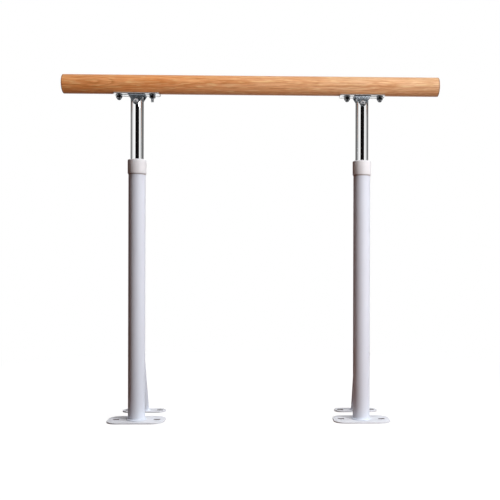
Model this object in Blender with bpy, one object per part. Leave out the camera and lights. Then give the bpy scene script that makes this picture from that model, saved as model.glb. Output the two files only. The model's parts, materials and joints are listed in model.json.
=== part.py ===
"""Ballet barre on two telescopic floor legs.

Lengths are in metres and +Z is up. The barre runs along X, and the braces lean back towards +Y.
The origin is on the floor under the middle of the barre, at the middle of the footprint's depth.
"""

import math

import bmesh
import bpy
from mathutils import Vector

# Gap left between pieces that touch, and the play of pieces that slide or turn on each other.
GAP = 0.0003
SLIDE_PLAY = 0.00035
TURN_PLAY = 0.0002

# Wooden barre.
BAR_LENGTH = 0.994
BAR_DIAMETER = 0.050
BAR_AXIS_HEIGHT = 0.889
BAR_END_ROUNDING = 0.0015
BAR_SEAT_DEPTH = 0.0005
BAR_SEAT_MARGIN = 0.002

# Where the legs stand, measured in from each end of the barre.
LEFT_OVERHANG = 0.1942
RIGHT_OVERHANG = 0.2038

# Bracket plate under the barre and the studs that hold it.
SADDLE_LENGTH = 0.120
SADDLE_THICKNESS = 0.003
SADDLE_CORNER = 0.006
OUTER_STUD_OFFSET = 0.0475
INNER_STUD_OFFSET = 0.040
STUD_DIAMETER = 0.008
STUD_HOLE_PLAY = 0.0003
STUD_GRIP_IN_WOOD = 0.025
STUD_CHAMFER = 0.0008
PLAIN_NUT_PLACE = ("left", "inner")
PLAIN_NUT_STUD_STUB = 0.010
WASHER_DIAMETER = 0.018
WASHER_THICKNESS = 0.0016
NUT_ACROSS_FLATS = 0.014
NUT_HEIGHT = 0.0065
NUT_CORNER_CUT = 0.0006
CAP_HEIGHT = 0.0055
CAP_DIAMETER = 0.0125
CAP_ROOT = 0.002

# Clevis, a bent channel whose two ears hold the pivot bolt.
CLEVIS_LENGTH = 0.045
CLEVIS_SHEET = 0.0025
CLEVIS_BEND = 0.002
CLEVIS_SIDE_PLAY = 0.0006
PIVOT_DROP = 0.0205
EAR_TIP_RADIUS = 0.0083

# Pivot bolt and its nut.
PIVOT_DIAMETER = 0.008
PIVOT_HEAD_DIAMETER = 0.0135
PIVOT_HEAD_HEIGHT = 0.0044
PIVOT_SOCKET_ACROSS = 0.005
PIVOT_SOCKET_DEPTH = 0.0025
PIVOT_END_STUB = 0.002
PIVOT_NUT_HEIGHT = 0.0062

# Riser, the inner tube of the leg.
RISER_DIAMETER = 0.034
RISER_WALL = 0.0015
RISER_LENGTH = 0.450
RISER_TOP_CLEARANCE = 0.002
PLUG_DEPTH = 0.030
PLUG_FLANGE = 0.0015
PLUG_FLANGE_INSET = 0.0004
GLIDE_SPIGOT = 0.015
GLIDE_LENGTH = 0.018
GLIDE_VENT_DIAMETER = 0.010
GLIDE_CHAMFER = 0.0012

# Post, the outer tube of the leg, with its collar and its guide bush.
POST_DIAMETER = 0.0445
POST_WALL = 0.002
COLLAR_TOP_HEIGHT = 0.690
COLLAR_HEIGHT = 0.0375
COLLAR_WALL = 0.00185
COLLAR_LIP = 0.0026
COLLAR_TOP_ROUNDING = 0.0030
COLLAR_FOOT_CHAMFER = 0.0008
COLLAR_MOUTH_PLAY = 0.0008
BUSH_LENGTH = 0.045
BUSH_FLANGE = 0.0016

# Height lock at the back of the collar: a boss, a screw and the pad that it presses.
LOCK_DROP = 0.019
LOCK_BOSS_DIAMETER = 0.016
LOCK_BOSS_LENGTH = 0.0085
LOCK_BOSS_CHAMFER = 0.001
LOCK_SCREW_DIAMETER = 0.008
LOCK_HEAD_DIAMETER = 0.013
LOCK_HEAD_HEIGHT = 0.008
LOCK_HEAD_STANDOFF = 0.004
LOCK_SOCKET_ACROSS = 0.006
LOCK_SOCKET_DEPTH = 0.004
LOCK_HEAD_CHAMFER = 0.0006
LOCK_PAD_THICKNESS = 0.0025

# Base plates, with a slot near each end for a floor screw.
PLATE_THICKNESS = 0.0035
PLATE_EDGE = 0.0006
FRONT_PLATE_LENGTH = 0.150
FRONT_PLATE_DEPTH = 0.090
FRONT_PLATE_CORNER = 0.030
FRONT_SLOT_SPACING = 0.108
REAR_PLATE_LENGTH = 0.120
REAR_PLATE_DEPTH = 0.047
REAR_PLATE_CORNER = 0.021
REAR_SLOT_SPACING = 0.087
SLOT_LENGTH = 0.016
SLOT_WIDTH = 0.0095

# Brace from the back of the post down to the rear plate.
BRACE_DIAMETER = 0.0254
BRACE_WALL = 0.0015
BRACE_REACH = 0.125
BRACE_TOP_HEIGHT = 0.280

# How finely round shapes are divided.
LARGE_SIDES = 40
TUBE_SIDES = 32
SMALL_TUBE_SIDES = 24
SMALL_SIDES = 16
CORNER_STEPS = 5
SMALL_CORNER_STEPS = 3
SMOOTH_ANGLE = math.radians(35.0)
MERGE_DISTANCE = 0.000001
CUTTER_REACH = 0.002

# Sizes and places that follow from the ones above.
BAR_RADIUS = BAR_DIAMETER / 2
POST_RADIUS = POST_DIAMETER / 2
POST_BORE_RADIUS = POST_RADIUS - POST_WALL
RISER_RADIUS = RISER_DIAMETER / 2
RISER_BORE_RADIUS = RISER_RADIUS - RISER_WALL
BRACE_RADIUS = BRACE_DIAMETER / 2
FOOTPRINT_FRONT = -FRONT_PLATE_DEPTH / 2
FOOTPRINT_BACK = BRACE_REACH + REAR_PLATE_DEPTH / 2
POST_LINE_Y = -(FOOTPRINT_FRONT + FOOTPRINT_BACK) / 2
SEAT_HEIGHT = BAR_AXIS_HEIGHT - BAR_RADIUS + BAR_SEAT_DEPTH
STUD_RADIUS = STUD_DIAMETER / 2
STUD_HOLE_RADIUS = STUD_RADIUS + STUD_HOLE_PLAY
SADDLE_TOP = SEAT_HEIGHT - GAP
SADDLE_BOTTOM = SADDLE_TOP - SADDLE_THICKNESS
CLEVIS_TOP = SADDLE_BOTTOM - GAP
CLEVIS_INSIDE_HALF = RISER_RADIUS + CLEVIS_SIDE_PLAY
CLEVIS_HALF_WIDTH = CLEVIS_INSIDE_HALF + CLEVIS_SHEET
PIVOT_HEIGHT = SADDLE_BOTTOM - PIVOT_DROP
WEB_BOTTOM = CLEVIS_TOP - CLEVIS_SHEET
PLUG_TOP = WEB_BOTTOM - RISER_TOP_CLEARANCE
RISER_TOP = PLUG_TOP - PLUG_FLANGE - GAP
RISER_BOTTOM = RISER_TOP - RISER_LENGTH
COLLAR_RADIUS = POST_RADIUS + GAP + COLLAR_WALL
COLLAR_BOTTOM = COLLAR_TOP_HEIGHT - COLLAR_HEIGHT
BUSH_TOP = COLLAR_TOP_HEIGHT - COLLAR_LIP - GAP
POST_TOP = BUSH_TOP - BUSH_FLANGE - GAP
POST_BOTTOM = PLATE_THICKNESS + GAP
LOCK_HEIGHT = COLLAR_TOP_HEIGHT - LOCK_DROP
LOCK_HOLE_RADIUS = LOCK_SCREW_DIAMETER / 2 + TURN_PLAY
LOCK_PAD_FRONT = RISER_RADIUS + GAP
LOCK_SCREW_TIP = LOCK_PAD_FRONT + LOCK_PAD_THICKNESS + GAP
LOCK_BOSS_FACE = COLLAR_RADIUS + LOCK_BOSS_LENGTH
LOCK_HEAD_START = LOCK_BOSS_FACE + LOCK_HEAD_STANDOFF

# How a shape modelled along Z is turned: left as it is, or laid along X, or along Y from front to back.
UPRIGHT = (0.0, 0.0, 0.0)
ALONG_X = (0.0, math.pi / 2, 0.0)
ALONG_Y = (-math.pi / 2, 0.0, 0.0)


def clear_scene():
    """Remove whatever the scene starts with."""
    for old in list(bpy.data.objects):
        bpy.data.objects.remove(old)


def make_material(name, colour, roughness, metallic):
    """Return a plain material with the given colour, roughness and metallic value."""
    material = bpy.data.materials.new(name)
    material.use_nodes = True
    shader = material.node_tree.nodes["Principled BSDF"]
    shader.inputs["Base Color"].default_value = (*colour, 1.0)
    shader.inputs["Roughness"].default_value = roughness
    shader.inputs["Metallic"].default_value = metallic
    return material


def add_empty(name, location):
    """Add an empty that stands on a joint's axis and carries the pieces that move there."""
    empty = bpy.data.objects.new(name, None)
    empty.location = location
    bpy.context.scene.collection.objects.link(empty)
    return empty


def add_piece(name, bm, material, location, rotation=UPRIGHT, carrier=None):
    """Turn a bmesh into an object at a place in the world, carried by an empty if one is given."""
    bmesh.ops.recalc_face_normals(bm, faces=bm.faces)
    mesh = bpy.data.meshes.new(name)
    bm.to_mesh(mesh)
    bm.free()
    mesh.shade_smooth()
    mesh.set_sharp_from_angle(angle=SMOOTH_ANGLE)
    mesh.materials.append(material)
    piece = bpy.data.objects.new(name, mesh)
    piece.rotation_euler = rotation
    piece.location = location
    if carrier is not None:
        piece.parent = carrier
        piece.location = Vector(location) - carrier.location
    bpy.context.scene.collection.objects.link(piece)
    return piece


def add_cutter(name, bm, location, rotation=UPRIGHT):
    """Add a shape that only shapes other pieces and isn't part of the barre."""
    cutter = add_piece(name, bm, None, location, rotation)
    cutter.hide_render = True
    cutter.display_type = "WIRE"
    return cutter


def shape_with(piece, cutter, operation="DIFFERENCE"):
    """Cut a piece with a cutter, or keep what they share, or join them."""
    modifier = piece.modifiers.new(cutter.name, "BOOLEAN")
    modifier.operation = operation
    modifier.object = cutter


def arc(centre, radius, start, end, steps):
    """Return points along an arc, from one angle to another, ends included."""
    points = []
    for step in range(steps + 1):
        angle = start + (end - start) * step / steps
        points.append((centre[0] + radius * math.cos(angle), centre[1] + radius * math.sin(angle)))
    return points


def rounded_rectangle(length, depth, corner, steps):
    """Return the outline of a rectangle with round corners, centred on its place."""
    x = length / 2 - corner
    y = depth / 2 - corner
    quarter = math.pi / 2
    outline = []
    for index, centre in enumerate(((x, y), (-x, y), (-x, -y), (x, -y))):
        outline += arc(centre, corner, index * quarter, (index + 1) * quarter, steps)
    return outline


def slot_outline(length, width, steps):
    """Return the outline of a slot with half-round ends, centred on its place."""
    x = (length - width) / 2
    right = arc((x, 0.0), width / 2, -math.pi / 2, math.pi / 2, steps)
    left = arc((-x, 0.0), width / 2, math.pi / 2, 3 * math.pi / 2, steps)
    return right + left


def hexagon(across_flats):
    """Return the outline of a hexagon with a flat facing front."""
    corners = arc((0.0, 0.0), across_flats / math.sqrt(3), 0.0, 2 * math.pi, 6)
    return corners[:-1]


def prism(outline, low, high):
    """Extrude a flat outline upwards between two heights."""
    bm = bmesh.new()
    face = bm.faces.new([bm.verts.new((x, y, low)) for x, y in outline])
    extruded = bmesh.ops.extrude_face_region(bm, geom=[face])
    top = [item for item in extruded["geom"] if isinstance(item, bmesh.types.BMVert)]
    bmesh.ops.translate(bm, verts=top, vec=(0.0, 0.0, high - low))
    bmesh.ops.recalc_face_normals(bm, faces=bm.faces)
    return bm


def turned(profile, sides, ring=False):
    """Spin a profile of radius and height about Z; a ring's profile is closed on itself."""
    bm = bmesh.new()
    verts = [bm.verts.new((radius, 0.0, height)) for radius, height in profile]
    edges = [bm.edges.new(pair) for pair in zip(verts, verts[1:])]
    if ring:
        edges.append(bm.edges.new((verts[-1], verts[0])))
    bmesh.ops.spin(
        bm, geom=verts + edges, axis=(0.0, 0.0, 1.0), cent=(0.0, 0.0, 0.0),
        angle=2 * math.pi, steps=sides, use_merge=True,
    )
    bmesh.ops.remove_doubles(bm, verts=bm.verts, dist=MERGE_DISTANCE)
    bmesh.ops.recalc_face_normals(bm, faces=bm.faces)
    return bm


def rod(radius, low, high, sides, chamfer=0.0):
    """Return a round rod between two heights, with its ends chamfered if asked."""
    if chamfer:
        profile = [
            (0.0, low), (radius - chamfer, low), (radius, low + chamfer),
            (radius, high - chamfer), (radius - chamfer, high), (0.0, high),
        ]
    else:
        profile = [(0.0, low), (radius, low), (radius, high), (0.0, high)]
    return turned(profile, sides)


def pipe(outer, inner, low, high, sides):
    """Return a straight length of tube between two heights."""
    return turned([(inner, low), (outer, low), (outer, high), (inner, high)], sides, ring=True)


def add_nut_body(name, height, material, place, rotation, carrier):
    """Add a hexagon nut without its hole, its corners cut by a turned envelope."""
    nut = add_piece(name, prism(hexagon(NUT_ACROSS_FLATS), 0.0, height), material, place, rotation, carrier)
    envelope = rod(NUT_ACROSS_FLATS / math.sqrt(3), 0.0, height, SMALL_SIDES, NUT_CORNER_CUT)
    shape_with(nut, add_cutter(f"{name}_envelope_cutter", envelope, place, rotation), "INTERSECT")
    return nut


def stud_places(place_x, outward):
    """Return the names and places along X of the two studs over a leg."""
    outer_x = place_x + OUTER_STUD_OFFSET * outward
    inner_x = place_x - INNER_STUD_OFFSET * outward
    return (("outer", outer_x), ("inner", inner_x))


def add_barre(material, carrier, leg_places):
    """Add the wooden barre, with a planed seat and two stud holes over each leg."""
    half = BAR_LENGTH / 2
    rounding = arc((BAR_RADIUS - BAR_END_ROUNDING, half - BAR_END_ROUNDING), BAR_END_ROUNDING,
                   0.0, math.pi / 2, SMALL_CORNER_STEPS)
    lower = [(radius, -height) for radius, height in reversed(rounding)]
    profile = [(0.0, -half)] + lower + rounding + [(0.0, half)]
    centre = (0.0, POST_LINE_Y, BAR_AXIS_HEIGHT)
    barre = add_piece("barre", turned(profile, LARGE_SIDES), material, centre, ALONG_X, carrier)
    seat_length = SADDLE_LENGTH + 2 * BAR_SEAT_MARGIN
    for side, place_x, outward in leg_places:
        seat = prism(rounded_rectangle(seat_length, BAR_DIAMETER, SADDLE_CORNER, 1), -BAR_DIAMETER, 0.0)
        shape_with(barre, add_cutter(f"{side}_seat_cutter", seat, (place_x, POST_LINE_Y, SEAT_HEIGHT)))
        for kind, stud_x in stud_places(place_x, outward):
            hole = rod(STUD_HOLE_RADIUS, -CUTTER_REACH, STUD_GRIP_IN_WOOD + GAP, SMALL_SIDES)
            place = (stud_x, POST_LINE_Y, SEAT_HEIGHT)
            shape_with(barre, add_cutter(f"{side}_{kind}_wood_hole_cutter", hole, place))


def add_saddle(side, place_x, outward, material, carrier):
    """Add the flat bracket plate that is screwed up against the barre."""
    outline = rounded_rectangle(SADDLE_LENGTH, 2 * CLEVIS_HALF_WIDTH, SADDLE_CORNER, SMALL_CORNER_STEPS)
    plate = add_piece(f"{side}_saddle_plate", prism(outline, 0.0, SADDLE_THICKNESS), material,
                      (place_x, POST_LINE_Y, SADDLE_BOTTOM), carrier=carrier)
    for kind, stud_x in stud_places(place_x, outward):
        hole = rod(STUD_HOLE_RADIUS, -CUTTER_REACH, SADDLE_THICKNESS + CUTTER_REACH, SMALL_SIDES)
        place = (stud_x, POST_LINE_Y, SADDLE_BOTTOM)
        shape_with(plate, add_cutter(f"{side}_{kind}_plate_hole_cutter", hole, place))


def add_clevis(side, place_x, material, carrier):
    """Add the channel under the plate, with its ears cut to a tapered shape about the pivot."""
    pivot_depth = CLEVIS_TOP - PIVOT_HEIGHT
    ear_depth = pivot_depth + EAR_TIP_RADIUS
    outer = CLEVIS_HALF_WIDTH
    inner = CLEVIS_INSIDE_HALF
    bend = CLEVIS_BEND
    quarter = math.pi / 2
    section = [(outer, -ear_depth)]
    section += arc((outer - bend, -bend), bend, 0.0, quarter, SMALL_CORNER_STEPS)
    section += arc((-outer + bend, -bend), bend, quarter, 2 * quarter, SMALL_CORNER_STEPS)
    section += [(-outer, -ear_depth), (-inner, -ear_depth), (-inner, -CLEVIS_SHEET), (inner, -CLEVIS_SHEET),
                (inner, -ear_depth)]
    half_length = CLEVIS_LENGTH / 2
    place = (place_x, POST_LINE_Y, CLEVIS_TOP)
    channel = prism(section, -half_length - CUTTER_REACH, half_length + CUTTER_REACH)
    clevis = add_piece(f"{side}_clevis", channel, material, place, (quarter, 0.0, quarter), carrier)
    slant = math.hypot(half_length, pivot_depth)
    contact = math.atan2(pivot_depth, half_length) - math.acos(EAR_TIP_RADIUS / slant)
    outline = [(-half_length, 0.0), (-half_length, CUTTER_REACH)]
    outline += [(half_length, CUTTER_REACH), (half_length, 0.0)]
    outline += arc((0.0, -pivot_depth), EAR_TIP_RADIUS, contact, -math.pi - contact, 2 * CORNER_STEPS)
    ears = prism(outline, -outer - CUTTER_REACH, outer + CUTTER_REACH)
    outline_cutter = add_cutter(f"{side}_ear_outline_cutter", ears, place, (quarter, 0.0, 0.0))
    shape_with(clevis, outline_cutter, "INTERSECT")
    hole = rod(PIVOT_DIAMETER / 2 + TURN_PLAY, -outer - CUTTER_REACH, outer + CUTTER_REACH, SMALL_SIDES)
    place = (place_x, POST_LINE_Y, PIVOT_HEIGHT)
    shape_with(clevis, add_cutter(f"{side}_ear_hole_cutter", hole, place, ALONG_Y))


def add_stud_set(side, kind, stud_x, capped, material, carrier):
    """Add one stud with its washer and its nut, capped or plain, hanging from the barre."""
    washer_bottom = SADDLE_BOTTOM - GAP - WASHER_THICKNESS
    nut_bottom = washer_bottom - GAP - NUT_HEIGHT
    stud_bottom = nut_bottom - (0.0 if capped else PLAIN_NUT_STUD_STUB)
    stud = rod(STUD_RADIUS, 0.0, SEAT_HEIGHT + STUD_GRIP_IN_WOOD - stud_bottom, SMALL_SIDES, STUD_CHAMFER)
    add_piece(f"{side}_{kind}_stud", stud, material, (stud_x, POST_LINE_Y, stud_bottom), carrier=carrier)
    washer = pipe(WASHER_DIAMETER / 2, STUD_HOLE_RADIUS, 0.0, WASHER_THICKNESS, SMALL_SIDES)
    place = (stud_x, POST_LINE_Y, washer_bottom)
    add_piece(f"{side}_{kind}_washer", washer, material, place, carrier=carrier)
    place = (stud_x, POST_LINE_Y, nut_bottom)
    name = f"{side}_{kind}_cap_nut" if capped else f"{side}_{kind}_hex_nut"
    nut = add_nut_body(name, NUT_HEIGHT, material, place, UPRIGHT, carrier)
    if capped:
        cap_radius = CAP_DIAMETER / 2
        dome = arc((0.0, 0.0), 1.0, -math.pi / 2, 0.0, CORNER_STEPS)
        profile = [(cap_radius * across, CAP_HEIGHT * up) for across, up in dome]
        cap = turned(profile + [(cap_radius, CAP_ROOT), (0.0, CAP_ROOT)], SMALL_SIDES)
        shape_with(nut, add_cutter(f"{name}_cap_cutter", cap, place), "UNION")
    bore_end = -GAP if capped else -CUTTER_REACH
    bore = rod(STUD_HOLE_RADIUS, bore_end, NUT_HEIGHT + CUTTER_REACH, SMALL_SIDES)
    shape_with(nut, add_cutter(f"{name}_bore_cutter", bore, place))


def add_pivot(side, place_x, material, carrier):
    """Add the pivot bolt with its button head at the front, and its nut at the back."""
    head_face = CLEVIS_HALF_WIDTH + GAP
    head_radius = PIVOT_HEAD_DIAMETER / 2
    shank = PIVOT_DIAMETER / 2
    end = head_face + PIVOT_NUT_HEIGHT + PIVOT_END_STUB
    dome = arc((0.0, 0.0), 1.0, -math.pi / 2, 0.0, CORNER_STEPS)
    profile = [(head_radius * across, PIVOT_HEAD_HEIGHT * up - head_face) for across, up in dome]
    profile += [(shank, -head_face), (shank, end - STUD_CHAMFER), (shank - STUD_CHAMFER, end), (0.0, end)]
    place = (place_x, POST_LINE_Y, PIVOT_HEIGHT)
    bolt = add_piece(f"{side}_pivot_bolt", turned(profile, SMALL_SIDES), material, place, ALONG_Y, carrier)
    socket_floor = -head_face - PIVOT_HEAD_HEIGHT + PIVOT_SOCKET_DEPTH
    socket = prism(hexagon(PIVOT_SOCKET_ACROSS), socket_floor - 2 * PIVOT_HEAD_HEIGHT, socket_floor)
    shape_with(bolt, add_cutter(f"{side}_pivot_socket_cutter", socket, place, ALONG_Y))
    place = (place_x, POST_LINE_Y + head_face, PIVOT_HEIGHT)
    nut = add_nut_body(f"{side}_pivot_nut", PIVOT_NUT_HEIGHT, material, place, ALONG_Y, carrier)
    bore = rod(shank + STUD_HOLE_PLAY, -CUTTER_REACH, PIVOT_NUT_HEIGHT + CUTTER_REACH, SMALL_SIDES)
    shape_with(nut, add_cutter(f"{side}_pivot_nut_bore_cutter", bore, place, ALONG_Y))


def add_riser(side, place_x, metal, plastic, carrier):
    """Add the inner tube, the plug in its top and the glide on its lower end."""
    axis = (place_x, POST_LINE_Y, 0.0)
    wall = pipe(RISER_RADIUS, RISER_BORE_RADIUS, RISER_BOTTOM, RISER_TOP, TUBE_SIDES)
    tube = add_piece(f"{side}_riser_tube", wall, metal, axis, carrier=carrier)
    plug_radius = RISER_BORE_RADIUS - GAP
    flange_radius = RISER_RADIUS - PLUG_FLANGE_INSET
    flange_bottom = PLUG_TOP - PLUG_FLANGE
    plug_bottom = RISER_TOP - PLUG_DEPTH
    profile = [(0.0, plug_bottom), (plug_radius, plug_bottom), (plug_radius, flange_bottom),
               (flange_radius, flange_bottom), (flange_radius, PLUG_TOP), (0.0, PLUG_TOP)]
    plug = add_piece(f"{side}_riser_plug", turned(profile, TUBE_SIDES), plastic, axis, carrier=carrier)
    hole_reach = RISER_RADIUS + CUTTER_REACH
    hole = rod(PIVOT_DIAMETER / 2 + STUD_HOLE_PLAY, -hole_reach, hole_reach, SMALL_SIDES)
    place = (place_x, POST_LINE_Y, PIVOT_HEIGHT)
    cutter = add_cutter(f"{side}_riser_pivot_hole_cutter", hole, place, ALONG_Y)
    shape_with(tube, cutter)
    shape_with(plug, cutter)
    vent = GLIDE_VENT_DIAMETER / 2
    glide_radius = POST_BORE_RADIUS - SLIDE_PLAY
    glide_top = RISER_BOTTOM - GAP
    glide_bottom = glide_top - GLIDE_LENGTH
    spigot_top = RISER_BOTTOM + GLIDE_SPIGOT
    profile = [(vent, glide_bottom), (glide_radius - GLIDE_CHAMFER, glide_bottom),
               (glide_radius, glide_bottom + GLIDE_CHAMFER), (glide_radius, glide_top - GLIDE_CHAMFER),
               (glide_radius - GLIDE_CHAMFER, glide_top), (plug_radius, glide_top),
               (plug_radius, spigot_top), (vent, spigot_top)]
    glide = turned(profile, TUBE_SIDES, ring=True)
    add_piece(f"{side}_riser_glide", glide, plastic, axis, carrier=carrier)


def add_post(side, place_x, paint, plastic):
    """Add the outer tube, its collar and the bush that guides the riser."""
    axis = (place_x, POST_LINE_Y, 0.0)
    wall = pipe(POST_RADIUS, POST_BORE_RADIUS, POST_BOTTOM, POST_TOP, TUBE_SIDES)
    post = add_piece(f"{side}_post_tube", wall, paint, axis)
    bore = POST_RADIUS + GAP
    mouth = RISER_RADIUS + COLLAR_MOUTH_PLAY
    lip_bottom = COLLAR_TOP_HEIGHT - COLLAR_LIP
    rounding = arc((COLLAR_RADIUS - COLLAR_TOP_ROUNDING, COLLAR_TOP_HEIGHT - COLLAR_TOP_ROUNDING),
                   COLLAR_TOP_ROUNDING, 0.0, math.pi / 2, SMALL_CORNER_STEPS)
    profile = [(bore, COLLAR_BOTTOM), (COLLAR_RADIUS - COLLAR_FOOT_CHAMFER, COLLAR_BOTTOM),
               (COLLAR_RADIUS, COLLAR_BOTTOM + COLLAR_FOOT_CHAMFER)]
    profile += rounding + [(mouth, COLLAR_TOP_HEIGHT), (mouth, lip_bottom), (bore, lip_bottom)]
    collar = add_piece(f"{side}_post_collar", turned(profile, TUBE_SIDES, ring=True), paint, axis)
    bush_bore = RISER_RADIUS + SLIDE_PLAY
    bush_radius = POST_BORE_RADIUS - GAP
    bush_bottom = BUSH_TOP - BUSH_LENGTH
    flange_bottom = BUSH_TOP - BUSH_FLANGE
    profile = [(bush_bore, bush_bottom), (bush_radius, bush_bottom), (bush_radius, flange_bottom),
               (POST_RADIUS, flange_bottom), (POST_RADIUS, BUSH_TOP), (bush_bore, BUSH_TOP)]
    bush = add_piece(f"{side}_guide_bush", turned(profile, TUBE_SIDES, ring=True), plastic, axis)
    hole = rod(LOCK_HOLE_RADIUS, 0.0, COLLAR_RADIUS + CUTTER_REACH, SMALL_SIDES)
    cutter = add_cutter(f"{side}_lock_hole_cutter", hole, (place_x, POST_LINE_Y, LOCK_HEIGHT), ALONG_Y)
    for piece in (post, collar, bush):
        shape_with(piece, cutter)


def add_lock(side, place_x, paint, metal, plastic, carrier):
    """Add the boss on the collar's back, the lock screw and the pad at its tip."""
    place = (place_x, POST_LINE_Y, LOCK_HEIGHT)
    boss_radius = LOCK_BOSS_DIAMETER / 2
    start = COLLAR_RADIUS - LOCK_BOSS_LENGTH
    profile = [(LOCK_HOLE_RADIUS, start), (boss_radius, start),
               (boss_radius, LOCK_BOSS_FACE - LOCK_BOSS_CHAMFER),
               (boss_radius - LOCK_BOSS_CHAMFER, LOCK_BOSS_FACE), (LOCK_HOLE_RADIUS, LOCK_BOSS_FACE)]
    boss = add_piece(f"{side}_lock_boss", turned(profile, SMALL_SIDES, ring=True), paint, place, ALONG_Y)
    seat = rod(COLLAR_RADIUS + GAP, -LOCK_BOSS_DIAMETER, LOCK_BOSS_DIAMETER, TUBE_SIDES)
    shape_with(boss, add_cutter(f"{side}_lock_seat_cutter", seat, place))
    shank = LOCK_SCREW_DIAMETER / 2
    head = LOCK_HEAD_DIAMETER / 2
    head_end = LOCK_HEAD_START + LOCK_HEAD_HEIGHT
    profile = [(0.0, LOCK_SCREW_TIP), (shank - STUD_CHAMFER, LOCK_SCREW_TIP),
               (shank, LOCK_SCREW_TIP + STUD_CHAMFER), (shank, LOCK_HEAD_START), (head, LOCK_HEAD_START),
               (head, head_end - LOCK_HEAD_CHAMFER), (head - LOCK_HEAD_CHAMFER, head_end), (0.0, head_end)]
    screw = add_piece(f"{side}_lock_screw", turned(profile, SMALL_SIDES), metal, place, ALONG_Y, carrier)
    socket = prism(hexagon(LOCK_SOCKET_ACROSS), head_end - LOCK_SOCKET_DEPTH, head_end + CUTTER_REACH)
    shape_with(screw, add_cutter(f"{side}_lock_socket_cutter", socket, place, ALONG_Y))
    pad = rod(shank, LOCK_PAD_FRONT, LOCK_PAD_FRONT + LOCK_PAD_THICKNESS, SMALL_SIDES)
    add_piece(f"{side}_lock_pad", pad, plastic, place, ALONG_Y, carrier)


def add_base_plate(name, place, outline, slot_spacing, material):
    """Add a base plate with softened edges and a slot near each end."""
    bm = prism(outline, 0.0, PLATE_THICKNESS)
    rim = [edge for edge in bm.edges if abs(edge.verts[0].co.z - edge.verts[1].co.z) < MERGE_DISTANCE
           and edge.verts[0].co.z > PLATE_THICKNESS / 2]
    bmesh.ops.bevel(bm, geom=rim, offset=PLATE_EDGE, offset_type="OFFSET", segments=1, profile=0.5,
                    affect="EDGES", material=-1)
    plate = add_piece(name, bm, material, place)
    slot_shape = slot_outline(SLOT_LENGTH, SLOT_WIDTH, CORNER_STEPS)
    for end, sign in (("left", -1), ("right", 1)):
        slot = prism(slot_shape, -CUTTER_REACH, PLATE_THICKNESS + CUTTER_REACH)
        slot_place = (place[0] + sign * slot_spacing / 2, place[1], place[2])
        shape_with(plate, add_cutter(f"{name}_{end}_slot_cutter", slot, slot_place))


def add_brace(side, place_x, material):
    """Add the leaning tube, coped to the post and cut flat on the rear plate."""
    foot = Vector((place_x, POST_LINE_Y + BRACE_REACH, POST_BOTTOM))
    head = Vector((place_x, POST_LINE_Y, BRACE_TOP_HEIGHT))
    run = head - foot
    lean = math.atan2(-run.y, run.z)
    overrun = 2 * BRACE_DIAMETER
    body = pipe(BRACE_RADIUS, BRACE_RADIUS - BRACE_WALL, -overrun, run.length, SMALL_TUBE_SIDES)
    brace = add_piece(f"{side}_brace", body, material, foot, (lean, 0.0, 0.0))
    cope = rod(POST_RADIUS + GAP, 0.0, 2 * BRACE_TOP_HEIGHT, TUBE_SIDES)
    shape_with(brace, add_cutter(f"{side}_brace_cope_cutter", cope, (place_x, POST_LINE_Y, 0.0)))
    block_size = 4 * BRACE_DIAMETER
    block = prism(rounded_rectangle(block_size, block_size, BRACE_WALL, 1), -block_size, 0.0)
    shape_with(brace, add_cutter(f"{side}_brace_foot_cutter", block, foot))


def build():
    """Build the whole barre."""
    clear_scene()
    wood = make_material("oiled_wood", (0.58, 0.30, 0.13), 0.38, 0.0)
    paint = make_material("white_powder_coat", (0.84, 0.84, 0.87), 0.30, 0.0)
    chrome = make_material("chrome", (0.86, 0.87, 0.88), 0.06, 1.0)
    zinc = make_material("zinc_plate", (0.62, 0.64, 0.66), 0.28, 1.0)
    nylon = make_material("dark_nylon", (0.10, 0.10, 0.11), 0.55, 0.0)
    left_x = -BAR_LENGTH / 2 + LEFT_OVERHANG
    right_x = BAR_LENGTH / 2 - RIGHT_OVERHANG
    leg_places = (("left", left_x, -1), ("right", right_x, 1))
    tilt_axis = add_empty("tilt_axis", Vector((left_x, POST_LINE_Y, PIVOT_HEIGHT)))
    add_barre(wood, tilt_axis, leg_places)
    for side, place_x, outward in leg_places:
        riser_axis = add_empty(f"{side}_riser_axis", Vector((place_x, POST_LINE_Y, PIVOT_HEIGHT)))
        lock_axis = add_empty(f"{side}_lock_axis", Vector((place_x, POST_LINE_Y, LOCK_HEIGHT)))
        add_saddle(side, place_x, outward, zinc, tilt_axis)
        add_clevis(side, place_x, zinc, tilt_axis)
        for kind, stud_x in stud_places(place_x, outward):
            capped = (side, kind) != PLAIN_NUT_PLACE
            add_stud_set(side, kind, stud_x, capped, zinc, tilt_axis)
        add_pivot(side, place_x, zinc, riser_axis)
        add_riser(side, place_x, chrome, nylon, riser_axis)
        add_post(side, place_x, paint, nylon)
        add_lock(side, place_x, paint, zinc, nylon, lock_axis)
        front = rounded_rectangle(FRONT_PLATE_LENGTH, FRONT_PLATE_DEPTH, FRONT_PLATE_CORNER, CORNER_STEPS)
        rear = rounded_rectangle(REAR_PLATE_LENGTH, REAR_PLATE_DEPTH, REAR_PLATE_CORNER, CORNER_STEPS)
        rear_y = POST_LINE_Y + BRACE_REACH
        add_base_plate(f"{side}_front_plate", (place_x, POST_LINE_Y, 0.0), front, FRONT_SLOT_SPACING, paint)
        add_base_plate(f"{side}_rear_plate", (place_x, rear_y, 0.0), rear, REAR_SLOT_SPACING, paint)
        add_brace(side, place_x, paint)


build()
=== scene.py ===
"""The looks of a floor-standing ballet barre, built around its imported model.

Lengths are in metres. X runs along the rail, the braces lie towards +Y, and +Z is up. The rail is
lacquered wood, the legs are powder-coated tube with chromed risers, and the brackets and fasteners
are zinc-plated steel. Each sub-assembly is a class that measures its nodes, builds finer meshes in
their place and dresses them.
"""

import json
import logging
import math
from dataclasses import dataclass
from enum import Enum
from typing import Sequence

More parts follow.
